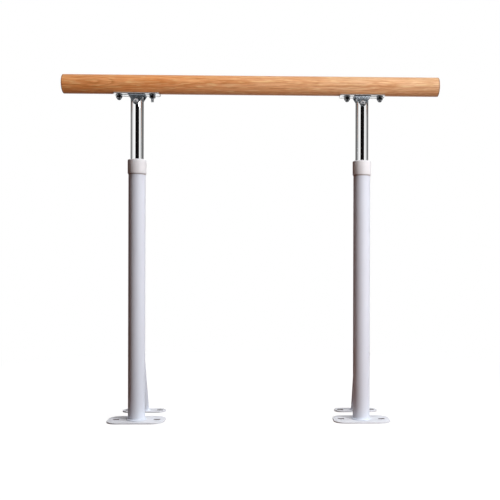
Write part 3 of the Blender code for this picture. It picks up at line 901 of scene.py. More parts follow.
@dataclass(frozen=True)
class LacqueredWood:
    """Satin lacquer over softwood, darker heartwood at the left end fading to paler sapwood at the right, a
    tone change that also paints in the stronger light on the right end.
    """

    heart_early: Colour = (0.875, 0.380, 0.133)
    heart_late: Colour = (0.595, 0.188, 0.043)
    sap_early: Colour = (0.785, 0.505, 0.303)
    sap_late: Colour = (0.61, 0.287, 0.110)
    end_tint: Colour = (0.50, 0.42, 0.36)
    end_depth: tuple[float, float] = (0.004, 0.001)
    rubbed_tint: Colour = (0.62, 0.52, 0.45)
    ring_spacing: float = 0.0024
    ring_stops: tuple[Stop, ...] = ((0.0, 0.10), (0.45, 0.05), (0.86, 0.95), (1.0, 0.12))
    pith_behind: float = 0.046
    pith_below: float = 0.004
    lean: float = 0.010
    drop: float = -0.006
    wander: float = 0.010
    sway: tuple[float, float, float] = (8.0, 12.0, 12.0)
    veils: tuple[Veil, ...] = (
        Veil(Grain.STREAK, 0.38, 0.62, 0.60, (0.78, 0.62, 0.46)),
        Veil(Grain.FLECK, 0.58, 0.66, 0.60, (0.74, 0.62, 0.50)),
        Veil(Grain.FLECK, 0.42, 0.34, 0.40, (0.90, 0.66, 0.30), Mix.SCREEN),
        Veil(Grain.FIBRE, 0.35, 0.70, 0.45, (0.80, 0.72, 0.66)),
        Veil(Grain.PORE, 0.66, 0.76, 0.55, (0.45, 0.36, 0.30)),
    )

    def rings(self, surface: Surface) -> tuple[NodeSocket, NodeSocket]:
        """Cut the growth rings of a trunk that leans and wanders about the rail.

        Args:
            surface: the rail's material, with its places measured from the rail's middle.

        Returns:
            How much latewood shows, and how far the ring lies from the pith in ring widths.
        """
        sway = surface.noise(surface.place, self.sway, Detail=2.0).node.outputs["Color"]
        centred = surface.vector_math("SUBTRACT", sway, (0.5, 0.5, 0.5))
        swayed = surface.vector_math("MULTIPLY", centred, (0.0, self.wander, self.wander))
        leaning = surface.scaled((0.0, self.lean, self.drop), surface.parts(surface.place)["X"])
        across = surface.vector_math("MULTIPLY", surface.place, (0.0, 1.0, 1.0))
        from_pith = surface.vector_math("SUBTRACT", across, (0.0, self.pith_behind, -self.pith_below))
        shifted = surface.vector_math("ADD", from_pith, leaning)
        distance = surface.vector_math("LENGTH", surface.vector_math("ADD", shifted, swayed))
        count = surface.math("DIVIDE", distance, self.ring_spacing)
        return surface.ramp(surface.math("FRACT", count), self.ring_stops), count

    def material(self, effects: Effects, rail: Extent) -> Material:
        """Make the rail's material.

        Args:
            effects: the shared surface effects.
            rail: the rail's box.

        Returns:
            The material.
        """
        surface = Surface("lacquered_wood", effects, {"Coat Weight": 0.04, "Coat Roughness": 0.25,
                                                      "Coat IOR": 1.46, "Specular IOR Level": 0.25})
        from_middle = {"Vector": surface.place, "Location": tuple(-rail.centre)}
        surface.place = surface.add("ShaderNodeMapping", from_middle).outputs["Vector"]
        patterns = {grain: grain.draw(surface) for grain in Grain}
        late, count = self.rings(surface)
        ring_number = {"W": surface.math("FLOOR", count)}
        ring_name = surface.add("ShaderNodeTexWhiteNoise", ring_number, noise_dimensions="1D")
        contrast = surface.remap(ring_name.outputs["Value"], 0.0, 1.0, 0.35, 0.9)
        lateness = surface.math("MULTIPLY", late, contrast)
        along = surface.parts(surface.place)["X"]
        half = rail.size.x / 2
        cloud = surface.remap(patterns[Grain.CLOUD], 0.3, 0.7, -0.16, 0.16)
        # Heartwood gives way to sapwood from left to right: partly the wood's own tone, partly painted light
        # for the more strongly lit right end.
        sapwood_and_painted_light = surface.math("ADD", surface.remap(along, -half, half), cloud)
        heartwood = surface.blend(lateness, self.heart_early, self.heart_late)
        sapwood = surface.blend(lateness, self.sap_early, self.sap_late)
        colour = surface.blend(sapwood_and_painted_light, heartwood, sapwood)
        for veil in self.veils:
            mask = surface.remap(patterns[veil.grain], veil.start, veil.end, 0.0, veil.strength)
            colour = surface.tint(mask, colour, veil.tint, veil.mode)
        # The rail is darker on its end faces and on a band round its last few millimetres.
        off_middle = surface.math("ABSOLUTE", along)
        near_end = surface.remap(off_middle, *(half - depth for depth in self.end_depth))
        end_darkening = surface.math("MAXIMUM", surface.remap(surface.facing("X"), 0.15, 0.80), near_end)
        colour = surface.tint(end_darkening, colour, self.end_tint)
        colour = surface.tint(surface.worn(width=0.0015, patch=90.0, amount=0.35), colour, self.rubbed_tint)
        fibre = patterns[Grain.FIBRE]
        satin = surface.remap(fibre, 0.3, 0.7, 0.36, 0.46)
        rough = surface.math("MULTIPLY_ADD", surface.marks(smear=9.0, wipe=160.0), 0.08, satin)
        height = surface.math("MULTIPLY_ADD", fibre, 0.6, surface.math("MULTIPLY", lateness, 0.4))
        return surface.finish(colour, rough, height, strength=0.12, distance=0.0004)


@dataclass(frozen=True)
class PowderCoat:
    """Baked white powder coat with a little orange peel, with painted shade in a band under the collar's
    seam and on the walls of the screw slots.
    """

    colour: Colour = (0.765, 0.82, 0.92)
    primer: Colour = (0.66, 0.66, 0.69)
    dust: Colour = (0.55, 0.53, 0.51)
    # The colour of the painted shade under the collar's seam and in the slots.
    painted_shade: Colour = (0.30, 0.26, 0.25)
    roughness: float = 0.50
    peel: float = 0.05
    seam_height: float = -1.0
    seam_width: float = 0.0024
    slots: tuple[Vector, ...] = ()
    slot_rim: tuple[float, float] = (0.0011, 0.0003)

    def painted_shade_mask(self, surface: Surface) -> NodeSocket:
        """Find a band under the collar's seam and the walls of the floor-screw slots, where shade is painted
        in.

        Args:
            surface: the material.

        Returns:
            The mask.
        """
        above = surface.parts(surface.place)["Z"]
        below_seam = surface.math("SUBTRACT", above, self.seam_height - self.seam_width / 2)
        off_seam = surface.math("ABSOLUTE", below_seam)
        mask = surface.remap(off_seam, self.seam_width, 0.3 * self.seam_width, 0.0, 0.85)
        for centre in self.slots:
            offset = surface.vector_math("SUBTRACT", surface.place, tuple(centre))
            reach = surface.parts(surface.vector_math("ABSOLUTE", offset))
            within = [surface.remap(reach[axis], *(measure / 2 + rim for rim in self.slot_rim))
                      for axis, measure in zip("XY", SLOT_SIZE)]
            mask = surface.math("MAXIMUM", mask, surface.math("MULTIPLY", *within))
        return mask

    def material(self, effects: Effects, name: str) -> Material:
        """Make the coat.

        Args:
            effects: the shared surface effects.
            name: the material's name.

        Returns:
            The material.
        """
        surface = Surface(name, effects, {"Coat Weight": 0.04, "Coat Roughness": 0.25, "IOR": 1.5})
        drift = surface.noise(surface.place, (7.0, 7.0, 5.0), Detail=2.0)
        settled = surface.settled(amount=0.22, grain=210.0)
        colour = self.colour
        # Primer shows in drifts and on rubbed edges, dust settles on top, and shade is painted under the
        # collar's seam and in the slots.
        for mask, over in ((surface.remap(drift, 0.35, 0.65, 0.0, 0.10), self.primer),
                           (surface.worn(width=0.0009, patch=110.0, amount=0.30), self.primer),
                           (settled, self.dust), (self.painted_shade_mask(surface), self.painted_shade)):
            colour = surface.blend(mask, colour, over)
        rough = surface.math("MULTIPLY_ADD", surface.marks(smear=22.0, wipe=260.0), 0.10, self.roughness)
        rough = surface.math("MULTIPLY_ADD", settled, 0.4, rough)
        dimples = surface.dimples(cells=650.0, swell=0.4)
        return surface.finish(colour, rough, dimples, strength=self.peel, distance=0.0006)


@dataclass(frozen=True)
class Chrome:
    """Bright chrome over a polished tube."""

    colour: Colour = (0.93, 0.935, 0.94)
    haze: Colour = (0.82, 0.825, 0.84)
    roughness: float = 0.035

    def material(self, effects: Effects) -> Material:
        """Make the chrome, with faint wipe marks and drawn lines along the tube.

        Args:
            effects: the shared surface effects.

        Returns:
            The material.
        """
        surface = Surface("chrome", effects, {"Metallic": 1.0})
        marks = surface.marks(smear=16.0, wipe=220.0)
        colour = surface.blend(surface.math("MULTIPLY", marks, 0.5), self.colour, self.haze)
        rough = surface.math("MULTIPLY_ADD", marks, 0.05, self.roughness)
        drawn = surface.noise(surface.place, (900.0, 900.0, 6.0), Detail=2.0)
        return surface.finish(colour, rough, drawn, strength=0.01, distance=0.0001)


@dataclass(frozen=True)
class ZincPlate:
    """Blue-passivated zinc, bright over turned steel and duller over pressed sheet."""

    colour: Colour = (0.70, 0.72, 0.75)
    rubbed: Colour = (0.84, 0.86, 0.88)
    stain: Colour = (0.44, 0.47, 0.50)
    roughness: float = 0.04
    sheared: Colour | None = None
    sheared_roughness: float = 0.6

    def material(self, effects: Effects, name: str) -> Material:
        """Make the plating, with rubbed edges, cloudy passivation and, on sheet, rough sheared sides.

        Args:
            effects: the shared surface effects.
            name: the material's name.

        Returns:
            The material.
        """
        surface = Surface(name, effects, {"Metallic": 1.0})
        cloud = surface.noise(surface.place, 150.0, Detail=5.0, Roughness=0.6)
        colour = self.colour
        for mask, over in ((surface.remap(cloud, 0.38, 0.68, 0.0, 0.55), self.stain),
                           (surface.worn(width=0.0006, patch=220.0, amount=0.8), self.rubbed),
                           (surface.settled(amount=0.15, grain=500.0), self.stain)):
            colour = surface.blend(mask, colour, over)
        clouded = surface.remap(cloud, 0.3, 0.7, self.roughness, self.roughness + 0.10)
        rough = surface.math("MULTIPLY_ADD", surface.marks(smear=60.0, wipe=500.0), 0.10, clouded)
        if self.sheared:
            cut_edge = surface.remap(surface.facing("Z"), 0.8, 0.4)
            colour = surface.blend(cut_edge, colour, self.sheared)
            torn = surface.math("MULTIPLY", cut_edge, self.sheared_roughness)
            rough = surface.math("MAXIMUM", rough, torn)
        dimples = surface.dimples(cells=1600.0, swell=0.8)
        return surface.finish(colour, rough, dimples, strength=0.06, distance=0.0002)


@dataclass(frozen=True)
class MouldedNylon:
    """Black nylon as it leaves the mould."""

    colour: Colour = (0.030, 0.030, 0.033)
    scuff: Colour = (0.11, 0.11, 0.115)

    def material(self, effects: Effects) -> Material:
        """Make the nylon, with a fine mould texture and scuffed edges.

        Args:
            effects: the shared surface effects.

        Returns:
            The material.
        """
        surface = Surface("moulded_nylon", effects, {"IOR": 1.5})
        worn = surface.worn(width=0.0008, patch=150.0, amount=0.6)
        colour = surface.blend(worn, self.colour, self.scuff)
        rough = surface.remap(surface.marks(smear=40.0, wipe=400.0), 0.0, 1.0, 0.42, 0.58)
        dimples = surface.dimples(cells=1200.0, swell=0.2)
        return surface.finish(colour, rough, dimples, strength=0.15, distance=0.0003)


@dataclass(frozen=True)
class Finishes:
    """The materials that the sub-assemblies are dressed in."""

    wood: Material
    paint: Material
    plate_paint: Material
    weld_paint: Material
    collar_paint: Material
    chrome: Material
    zinc: Material
    zinc_bolt: Material
    zinc_sheet: Material
    zinc_bent: Material
    nylon: Material

    @classmethod
    def mix(cls) -> "Finishes":
        """Make every material once.

        Returns:
            The materials.
        """
        effects = Effects()
        seam = Extent.of("left_post_collar").low.z
        slots = [place for side in Side for part in SLOT_SPACING for place in slot_centres(side, part)]
        # The plates' slots take a near-black painted shade.
        on_plates = PowderCoat(colour=(0.765, 0.79, 0.85), painted_shade=(0.14, 0.12, 0.12), slots=tuple(slots))
        # The collar takes a lighter copy of the post's coat, painted light for the extra light that falls on
        # the collars.
        lighter_collar_coat = PowderCoat(colour=(0.83, 0.84, 0.87))
        bolt = ZincPlate(colour=(0.84, 0.85, 0.87), rubbed=(0.92, 0.92, 0.93), stain=(0.66, 0.68, 0.70),
                         roughness=0.42)
        sheet = ZincPlate(colour=(0.92, 0.93, 0.94), rubbed=(0.95, 0.95, 0.96), stain=(0.80, 0.82, 0.84),
                          roughness=0.07, sheared=(0.74, 0.64, 0.58))
        bent = ZincPlate(colour=(0.46, 0.515, 0.575), rubbed=(0.67, 0.71, 0.75), stain=(0.275, 0.30, 0.33),
                         roughness=0.20)
        return cls(
            wood=LacqueredWood().material(effects, Extent.of("barre")),
            paint=PowderCoat(seam_height=seam).material(effects, "powder_coat"),
            plate_paint=on_plates.material(effects, "powder_coat_on_plates"),
            weld_paint=PowderCoat(seam_height=seam, peel=0.12).material(effects, "powder_coat_over_weld"),
            collar_paint=lighter_collar_coat.material(effects, "powder_coat_lighter_collar"),
            chrome=Chrome().material(effects),
            zinc=ZincPlate().material(effects, "zinc_plate_bright"),
            zinc_bolt=bolt.material(effects, "zinc_plate_on_bolts"),
            zinc_sheet=sheet.material(effects, "zinc_plate_on_sheet"),
            zinc_bent=bent.material(effects, "zinc_plate_on_bends"),
            nylon=MouldedNylon().material(effects),
        )


@dataclass
class Rail:
    """The wooden rail, with a planed seat and two stud holes over each leg."""

    finishes: Finishes
    end_rounding: float = 0.0015
    seat_margin: float = 0.002
    seat_corner: float = 0.006
    stud_radius: float = 0.004
    sides: int = 160

    def build(self) -> None:
        """Turn the rail, plane its seats and drill it."""
        rail = Extent.of("barre")
        radius = rail.size.y / 2
        shape = rod(radius, -rail.size.x / 2, rail.size.x / 2, self.sides, self.end_rounding)
        placed(shape, rail.centre, Lie.ALONG_X)
        for side in Side:
            plate = Extent.of(side.node("saddle_plate"))
            seat_height = plate.high.z + SEAT_GAP
            planed = slab(plate.size.x + 2 * self.seat_margin, 2 * radius, radius, self.seat_corner)
            shape = combine(shape, placed(planed, plate.at(seat_height - radius)))
            for kind in ("outer", "inner"):
                stud = Extent.of(side.node(f"{kind}_stud"))
                hole = rod(self.stud_radius + HOLE_PLAY, seat_height - CUT_REACH, stud.high.z + HOLE_PLAY,
                           HOLE_SIDES)
                shape = combine(shape, placed(hole, stud.at(0.0)))
        add_piece(shape, "barre_turned", Body.RAIL, self.finishes.wood, ["barre"])


@dataclass
class SideAssembly:
    """A sub-assembly that is made once for each side."""

    side: Side
    finishes: Finishes

    def extent(self, part: str) -> Extent:
        """Measure this side's node for a part."""
        return Extent.of(self.side.node(part))

    def stand_in(self, shape: BMesh, part: str, maker_word: str, body: Body, slot: Slot,
                 material: Material) -> None:
        """Add a piece that stands for this side's node for a part, and is named for how it was made."""
        node = self.side.node(part)
        add_piece(shape, f"{node}_{maker_word}", body, material, [node])


@dataclass
class Bracket(SideAssembly):
    """One bracket under the rail: plate, clevis, studs, washers and nuts."""

    plate_corner: float = 0.006
    plate_softening: float = 0.0005
    sheet: float = 0.0025
    bend_radius: float = 0.0022
    ear_tip_radius: float = 0.0083
    pivot_radius: float = 0.004
    pivot_play: float = 0.0002
    stud_radius: float = 0.004
    stud_tip_rounding: float = 0.0006
    thread_pitch: float = 0.00125
    core_overlap: float = 0.0001
    washer_rounding: float = 0.0003
    nut_across_flats: float = 0.014
    nut_height: float = 0.0065
    cap_radius: float = 0.00625
    cap_root: float = 0.0012

    def build(self) -> None:
        """Build all the bracket's visible pieces."""
        self.build_plate()
        self.build_clevis()
        for kind in ("outer", "inner"):
            self.build_washer(kind)
            if self.side is Side.LEFT and kind == "inner":
                self.build_plain_nut()
                self.build_open_stud()
            else:
                self.build_cap_nut(kind)

    def add(self, shape: BMesh, part: str, maker_word: str, plating: Material | None = None) -> None:
        """Add a zinc piece that rides on the rail, bright unless another plating is given."""
        self.stand_in(shape, part, maker_word, Body.RAIL, Slot.ZINC, plating or self.finishes.zinc)

    def bore(self, low: float, high: float, sides: int = BORE_SIDES) -> BMesh:
        """Return the hole that a stud passes through."""
        return rod(self.stud_radius + HOLE_PLAY, low, high, sides)

    def build_plate(self) -> None:
        """Press the flat plate and punch its two holes."""
        plate = self.extent("saddle_plate")
        shape = placed(slab(*plate.size, self.plate_corner), plate.at(plate.low.z))
        for kind in ("outer", "inner"):
            hole = self.bore(plate.low.z - CUT_REACH, plate.high.z + CUT_REACH, HOLE_SIDES)
            shape = combine(shape, placed(hole, self.extent(f"{kind}_stud").at(0.0)))
        soften(shape, self.plate_softening, plate.low.z)
        self.add(shape, "saddle_plate", "pressed", self.finishes.zinc_sheet)

    def ear_outline(self, width: float, height: float, reach: float) -> BMesh:
        """Make the solid that the ears are cut to: full width above, tapering round the pivot.

        Args:
            width: the channel's length along the rail.
            height: how far the pivot lies below the channel's top.
            reach: how far the solid reaches each way through the ears.

        Returns:
            A closed prism along Y, its origin at the channel's top.
        """
        shape = bmesh.new()
        for depth in (-reach, reach):
            matrix = Matrix.Translation((0.0, depth, -height)) @ Matrix.Rotation(QUARTER_TURN, 4, "X")
            bmesh.ops.create_circle(shape, segments=TURNED_SIDES, radius=self.ear_tip_radius, matrix=matrix)
            for across in (-width / 2, width / 2):
                shape.verts.new((across, depth, 0.0))
                shape.verts.new((across, depth, CUT_REACH))
        hull = bmesh.ops.convex_hull(shape, input=shape.verts[:])
        spare = [item for item in hull["geom_interior"] if isinstance(item, BMVert)]
        bmesh.ops.delete(shape, geom=spare, context="VERTS")
        bmesh.ops.dissolve_limit(shape, angle_limit=FLAT_ANGLE, verts=shape.verts, edges=shape.edges)
        bmesh.ops.recalc_face_normals(shape, faces=shape.faces)
        return shape

    def bent_channel(self, clevis: Extent) -> BMesh:
        """Bend a strip into a channel that is open below.

        Args:
            clevis: the clevis's box.

        Returns:
            The channel, a little longer than the clevis.
        """
        start = clevis.low.x - CUT_REACH
        half = clevis.size.y / 2 - self.sheet
        inside = clevis.high.z - self.sheet
        corners = ((-half, clevis.low.z), (-half, inside), (half, inside), (half, clevis.low.z))
        points = [(start, clevis.centre.y + across, height) for across, height in corners]
        strip, verts = wire(points, closed=False)
        round_corners(strip, verts[1:3], self.bend_radius - self.sheet / 2)
        extruded = bmesh.ops.extrude_edge_only(strip, edges=strip.edges[:])
        length = clevis.size.x + 2 * CUT_REACH
        bmesh.ops.translate(strip, verts=moved_verts(extruded), vec=(length, 0.0, 0.0))
        bmesh.ops.recalc_face_normals(strip, faces=strip.faces)
        top = max(strip.faces, key=lambda face: face.calc_center_median().z)
        if top.normal.z > 0:
            bmesh.ops.reverse_faces(strip, faces=strip.faces)
        bmesh.ops.solidify(strip, geom=strip.faces[:], thickness=self.sheet)
        bmesh.ops.recalc_face_normals(strip, faces=strip.faces)
        return strip

    def build_clevis(self) -> None:
        """Bend the clevis, cut its ears and drill them."""
        clevis = self.extent("clevis")
        pivot = self.extent("pivot_bolt").centre.z
        reach = clevis.size.y
        outline = self.ear_outline(clevis.size.x, clevis.high.z - pivot, reach)
        shape = combine(self.bent_channel(clevis), placed(outline, clevis.at(clevis.high.z)), Cut.KEEP)
        hole = rod(self.pivot_radius + self.pivot_play, -reach, reach, BORE_SIDES)
        shape = combine(shape, placed(hole, clevis.at(pivot), Lie.ALONG_Y))
        self.add(shape, "clevis", "bent", self.finishes.zinc_bent)

    def build_washer(self, kind: str) -> None:
        """Punch a washer.

        Args:
            kind: which stud it is on, outer or inner.
        """
        part = f"{kind}_washer"
        washer = self.extent(part)
        shape = tube(washer.size.x / 2, self.stud_radius + HOLE_PLAY, washer.low.z, washer.high.z,
                     TURNED_SIDES, self.washer_rounding)
        self.add(placed(shape, washer.at(0.0)), part, "punched")

    def build_cap_nut(self, kind: str) -> None:
        """Turn a domed cap nut, open only towards the rail.

        Args:
            kind: which stud it is on, outer or inner.
        """
        part = f"{kind}_cap_nut"
        nut = self.extent(part)
        hexagon_low = nut.high.z - self.nut_height
        cap_height = hexagon_low - nut.low.z
        body = placed(nut_body(self.nut_across_flats, self.nut_height), (0.0, 0.0, hexagon_low))
        dome = bmesh.new()
        bmesh.ops.create_uvsphere(dome, u_segments=64, v_segments=32, radius=1.0)
        bmesh.ops.scale(dome, vec=(self.cap_radius, self.cap_radius, cap_height), verts=dome.verts)
        bmesh.ops.translate(dome, vec=(0.0, 0.0, hexagon_low), verts=dome.verts)
        bmesh.ops.bisect_plane(
            dome, geom=dome.verts[:] + dome.edges[:] + dome.faces[:],
            plane_co=(0.0, 0.0, hexagon_low + self.cap_root), plane_no=(0.0, 0.0, 1.0), clear_outer=True,
        )
        bmesh.ops.holes_fill(dome, edges=dome.edges)
        bmesh.ops.recalc_face_normals(dome, faces=dome.faces)
        shape = combine(body, dome, Cut.JOIN)
        shape = combine(shape, self.bore(hexagon_low - HOLE_PLAY, nut.high.z + CUT_REACH))
        self.add(placed(shape, nut.at(0.0)), part, "turned")

    def build_plain_nut(self) -> None:
        """Forge the one plain hexagon nut."""
        nut = self.extent("inner_hex_nut")
        shape = placed(nut_body(self.nut_across_flats, nut.size.z), (0.0, 0.0, nut.low.z))
        shape = combine(shape, self.bore(nut.low.z - CUT_REACH, nut.high.z + CUT_REACH))
        self.add(placed(shape, nut.at(0.0)), "inner_hex_nut", "forged")

    def build_open_stud(self) -> None:
        """Roll the stud whose threaded end shows under the plain nut."""
        stud = self.extent("inner_stud")
        core_radius = self.stud_radius - THREAD_DEPTH * self.thread_pitch + self.core_overlap
        core = rod(core_radius, stud.low.z, stud.high.z, BORE_SIDES, self.stud_tip_rounding)
        ridge = thread(self.stud_radius, self.thread_pitch, stud.low.z + self.stud_tip_rounding,
                       self.extent("inner_washer").high.z)
        self.add(placed(join(core, ridge), stud.at(0.0)), "inner_stud", "threaded")


@dataclass
class Leg(SideAssembly):
    """One telescopic leg: riser, post, collar, height lock, brace, base plates and welds."""

    riser_wall: float = 0.0015
    riser_rounding: float = 0.0003
    post_wall: float = 0.002
    collar_wall: float = 0.00185
    collar_lip: float = 0.0026
    collar_rounding: float = 0.0030
    collar_foot_rounding: float = 0.0009
    mouth_rounding: float = 0.0004
    boss_rounding: float = 0.0012
    collar_mouth_play: float = 0.0008
    pivot_shank_radius: float = 0.004
    pivot_head_flat: float = 0.0036
    pivot_button: tuple[tuple[float, float, float], ...] = (
        (0.0009, 0.52, 0.0016), (0.0, 0.80, 0.0004), (0.0, 1.0, 0.0002))
    pivot_end_rounding: float = 0.0006
    pivot_socket: tuple[float, float] = (0.005, 0.0028)
    lock_screw_radius: float = 0.004
    lock_play: float = 0.0002
    lock_head_length: float = 0.008
    lock_thread_depth: float = 0.00065
    lock_thread_pitch: float = 0.00125
    lock_thread_lead: float = 0.0006
    lock_overlaps: tuple[float, float] = (0.001, 0.0002)
    lock_head_rounding: float = 0.0006
    lock_tip_rounding: float = 0.0005
    lock_socket: tuple[float, float] = (0.006, 0.004)
    lock_knurls: int = 48
    knurl_scale: float = 0.965
    knurled_from: float = 0.9
    brace_wall: float = 0.0015
    brace_top_height: float = 0.280
    floor_block: float = 0.1
    floor_block_corner: float = 0.001
    weld_radius: float = 0.0026
    weld_lift: float = 0.35
    weld_ripple: float = 0.10
    weld_drop_length: int = 4
    post_weld_points: int = 280
    foot_weld_points: int = 180
    head_weld_points: int = 200
    front_corner: float = 0.030
    rear_corner: float = 0.021
    plate_softening: float = 0.0008
    tube_sides: int = 128
    brace_sides: int = 96

    @property
    def riser_body(self) -> Body:
        """The body that this leg's riser moves with."""
        return Body(self.side.node("riser"))

    @property
    def post(self) -> Extent:
        """The post tube's box."""
        return self.extent("post_tube")

    @property
    def axis(self) -> Vector:
        """The foot of the post's axis."""
        return self.post.at(0.0)

    def build(self) -> None:
        """Build all the leg's visible pieces."""
        self.build_riser()
        self.build_pivot()
        self.build_post()
        self.build_collar()
        self.build_lock()
        self.build_base_plate("front_plate", self.front_corner)
        self.build_base_plate("rear_plate", self.rear_corner)
        self.build_brace()
        self.build_welds()

    def paint(self, shape: BMesh, part: str, maker_word: str, coat: Material | None = None) -> None:
        """Add a powder-coated piece, in the common coat unless another is given."""
        self.stand_in(shape, part, maker_word, Body.BASE, Slot.PAINT, coat or self.finishes.paint)

    def build_riser(self) -> None:
        """Draw the chromed inner tube and drill it for the pivot."""
        riser = self.extent("riser_tube")
        radius = riser.size.x / 2
        shape = tube(radius, radius - self.riser_wall, riser.low.z, riser.high.z, self.tube_sides,
                     self.riser_rounding)
        hole = rod(self.pivot_shank_radius + HOLE_PLAY, -2 * radius, 2 * radius, BORE_SIDES)
        placed(hole, self.post.at(self.extent("pivot_bolt").centre.z), Lie.ALONG_Y)
        shape = combine(placed(shape, self.axis), hole)
        self.stand_in(shape, "riser_tube", "drawn", self.riser_body, Slot.CHROME, self.finishes.chrome)

    def build_pivot(self) -> None:
        """Turn the pivot bolt with its button head, and forge its nut."""
        bolt = self.extent("pivot_bolt")
        nut = self.extent("pivot_nut")
        shank = self.pivot_shank_radius
        head_radius = bolt.size.x / 2
        rise = self.extent("clevis").low.y - SEAT_GAP - bolt.low.y
        button = [Turn(head_radius - inset, rise * share, rounding)
                  for inset, share, rounding in self.pivot_button]
        head = turned(
            (Turn(0.0, 0.0), Turn(self.pivot_head_flat, 0.0, self.pivot_end_rounding), *button,
             Turn(shank, rise), Turn(shank, bolt.size.y, self.pivot_end_rounding),
             Turn(0.0, bolt.size.y)), TURNED_SIDES,
        )
        across_flats, depth = self.pivot_socket
        shape = combine(head, placed(hexagon_bar(across_flats, depth + CUT_REACH), (0.0, 0.0, -CUT_REACH)))
        placed(shape, (bolt.centre.x, bolt.low.y, bolt.centre.z), Lie.ALONG_Y)
        self.stand_in(shape, "pivot_bolt", "turned", self.riser_body, Slot.ZINC, self.finishes.zinc_bolt)
        bore = rod(shank + HOLE_PLAY, -CUT_REACH, nut.size.y + CUT_REACH, BORE_SIDES)
        shape = combine(nut_body(nut.size.z, nut.size.y), bore)
        placed(shape, (bolt.centre.x, nut.low.y, bolt.centre.z), Lie.ALONG_Y)
        self.stand_in(shape, "pivot_nut", "forged", self.riser_body, Slot.ZINC, self.finishes.zinc)

    def lock_hole(self) -> BMesh:
        """Make the hole that the lock screw passes through the collar and the post.

        Returns:
            The hole, in place.
        """
        screw = self.extent("lock_screw")
        hole = rod(self.lock_screw_radius + self.lock_play, 0.0, screw.high.y - self.axis.y, BORE_SIDES)
        return placed(hole, self.post.at(screw.centre.z), Lie.ALONG_Y)

    def build_post(self) -> None:
        """Draw the outer tube and drill it for the lock screw."""
        post = self.post
        radius = post.size.x / 2
        shape = tube(radius, radius - self.post_wall, post.low.z, post.high.z, self.tube_sides)
        self.paint(combine(placed(shape, self.axis), self.lock_hole()), "post_tube", "drawn")

    def build_collar(self) -> None:
        """Turn the collar, with its rounded shoulder and the lip round the riser."""
        collar = self.extent("post_collar")
        radius = collar.size.x / 2
        bore = radius - self.collar_wall
        mouth = self.extent("riser_tube").size.x / 2 + self.collar_mouth_play
        top = collar.high.z
        lip = top - self.collar_lip
        shape = turned(
            (Turn(bore, collar.low.z), Turn(radius, collar.low.z, self.collar_foot_rounding),
             Turn(radius, top, self.collar_rounding), Turn(mouth, top, self.mouth_rounding),
             Turn(mouth, lip), Turn(bore, lip)), self.tube_sides, ring=True,
        )
        shape = combine(placed(shape, self.axis), self.lock_hole())
        # The collar's coat is painted lighter than the post's, as light.
        self.paint(shape, "post_collar", "turned", self.finishes.collar_paint)

    def build_lock(self) -> None:
        """Turn the boss behind the collar and the screw in it."""
        boss = self.extent("lock_boss")
        height = self.extent("lock_screw").centre.z
        face = boss.high.y - self.axis.y
        hole = self.lock_screw_radius + self.lock_play
        radius = boss.size.x / 2
        shape = turned(
            (Turn(hole, 0.0), Turn(radius, 0.0), Turn(radius, face, self.boss_rounding),
             Turn(hole, face, self.mouth_rounding)), TURNED_SIDES, ring=True,
        )
        placed(shape, self.post.at(height), Lie.ALONG_Y)
        seat_radius = self.extent("post_collar").size.x / 2 + SEAT_GAP
        seat = rod(seat_radius, height - boss.size.z, height + boss.size.z, self.tube_sides)
        self.paint(combine(shape, placed(seat, self.axis)), "lock_boss", "turned")
        self.build_lock_screw()

    def build_lock_screw(self) -> None:
        """Turn the lock screw: shank, thread and a knurled head with a hexagon socket."""
        screw = self.extent("lock_screw")
        tip = screw.low.y - self.axis.y
        end = screw.high.y - self.axis.y
        head_radius = screw.size.x / 2
        head_low = end - self.lock_head_length
        core_radius = self.lock_screw_radius - self.lock_thread_depth
        shank_overlap, thread_overlap = self.lock_overlaps
        shank = rod(core_radius, tip, head_low + shank_overlap, BORE_SIDES, self.lock_tip_rounding)
        ridge = thread(self.lock_screw_radius, self.lock_thread_pitch, tip + self.lock_thread_lead,
                       head_low + thread_overlap)
        head = rod(head_radius, head_low, end, 2 * self.lock_knurls, self.lock_head_rounding)
        for vert in head.verts:
            angle = math.atan2(vert.co.y, vert.co.x)
            groove = round(angle / FULL_TURN * 2 * self.lock_knurls) % 2
            if groove and vert.co.xy.length > self.knurled_from * head_radius:
                vert.co.xy *= self.knurl_scale
        across_flats, depth = self.lock_socket
        socket = placed(hexagon_bar(across_flats, depth + CUT_REACH), (0.0, 0.0, end - depth))
        shape = join(shank, ridge, combine(head, socket))
        placed(shape, self.post.at(screw.centre.z), Lie.ALONG_Y)
        body = Body(self.side.node("screw"))
        self.stand_in(shape, "lock_screw", "knurled", body, Slot.ZINC, self.finishes.zinc)

    def build_base_plate(self, part: str, corner: float) -> None:
        """Cut a base plate, punch its two slots and round its upper edges.

        Args:
            part: which plate it is.
            corner: the radius of its corners.
        """
        plate = self.extent(part)
        shape = slab(*plate.size, corner)
        length, width = SLOT_SIZE
        for sign in (-1, 1):
            slot = slab(length, width, plate.size.z + 2 * CUT_REACH, width / 2)
            shape = combine(shape, placed(slot, (sign * SLOT_SPACING[part] / 2, 0.0, -CUT_REACH)))
        soften(shape, self.plate_softening, plate.size.z)
        self.paint(placed(shape, plate.at(plate.low.z)), part, "cut", self.finishes.plate_paint)

    def brace_line(self) -> tuple[Vector, Vector]:
        """Find the brace's centre line.

        Returns:
            Its foot and its head.
        """
        foot = Vector((self.axis.x, self.extent("rear_plate").centre.y, self.extent("brace").low.z))
        return foot, self.post.at(self.brace_top_height)

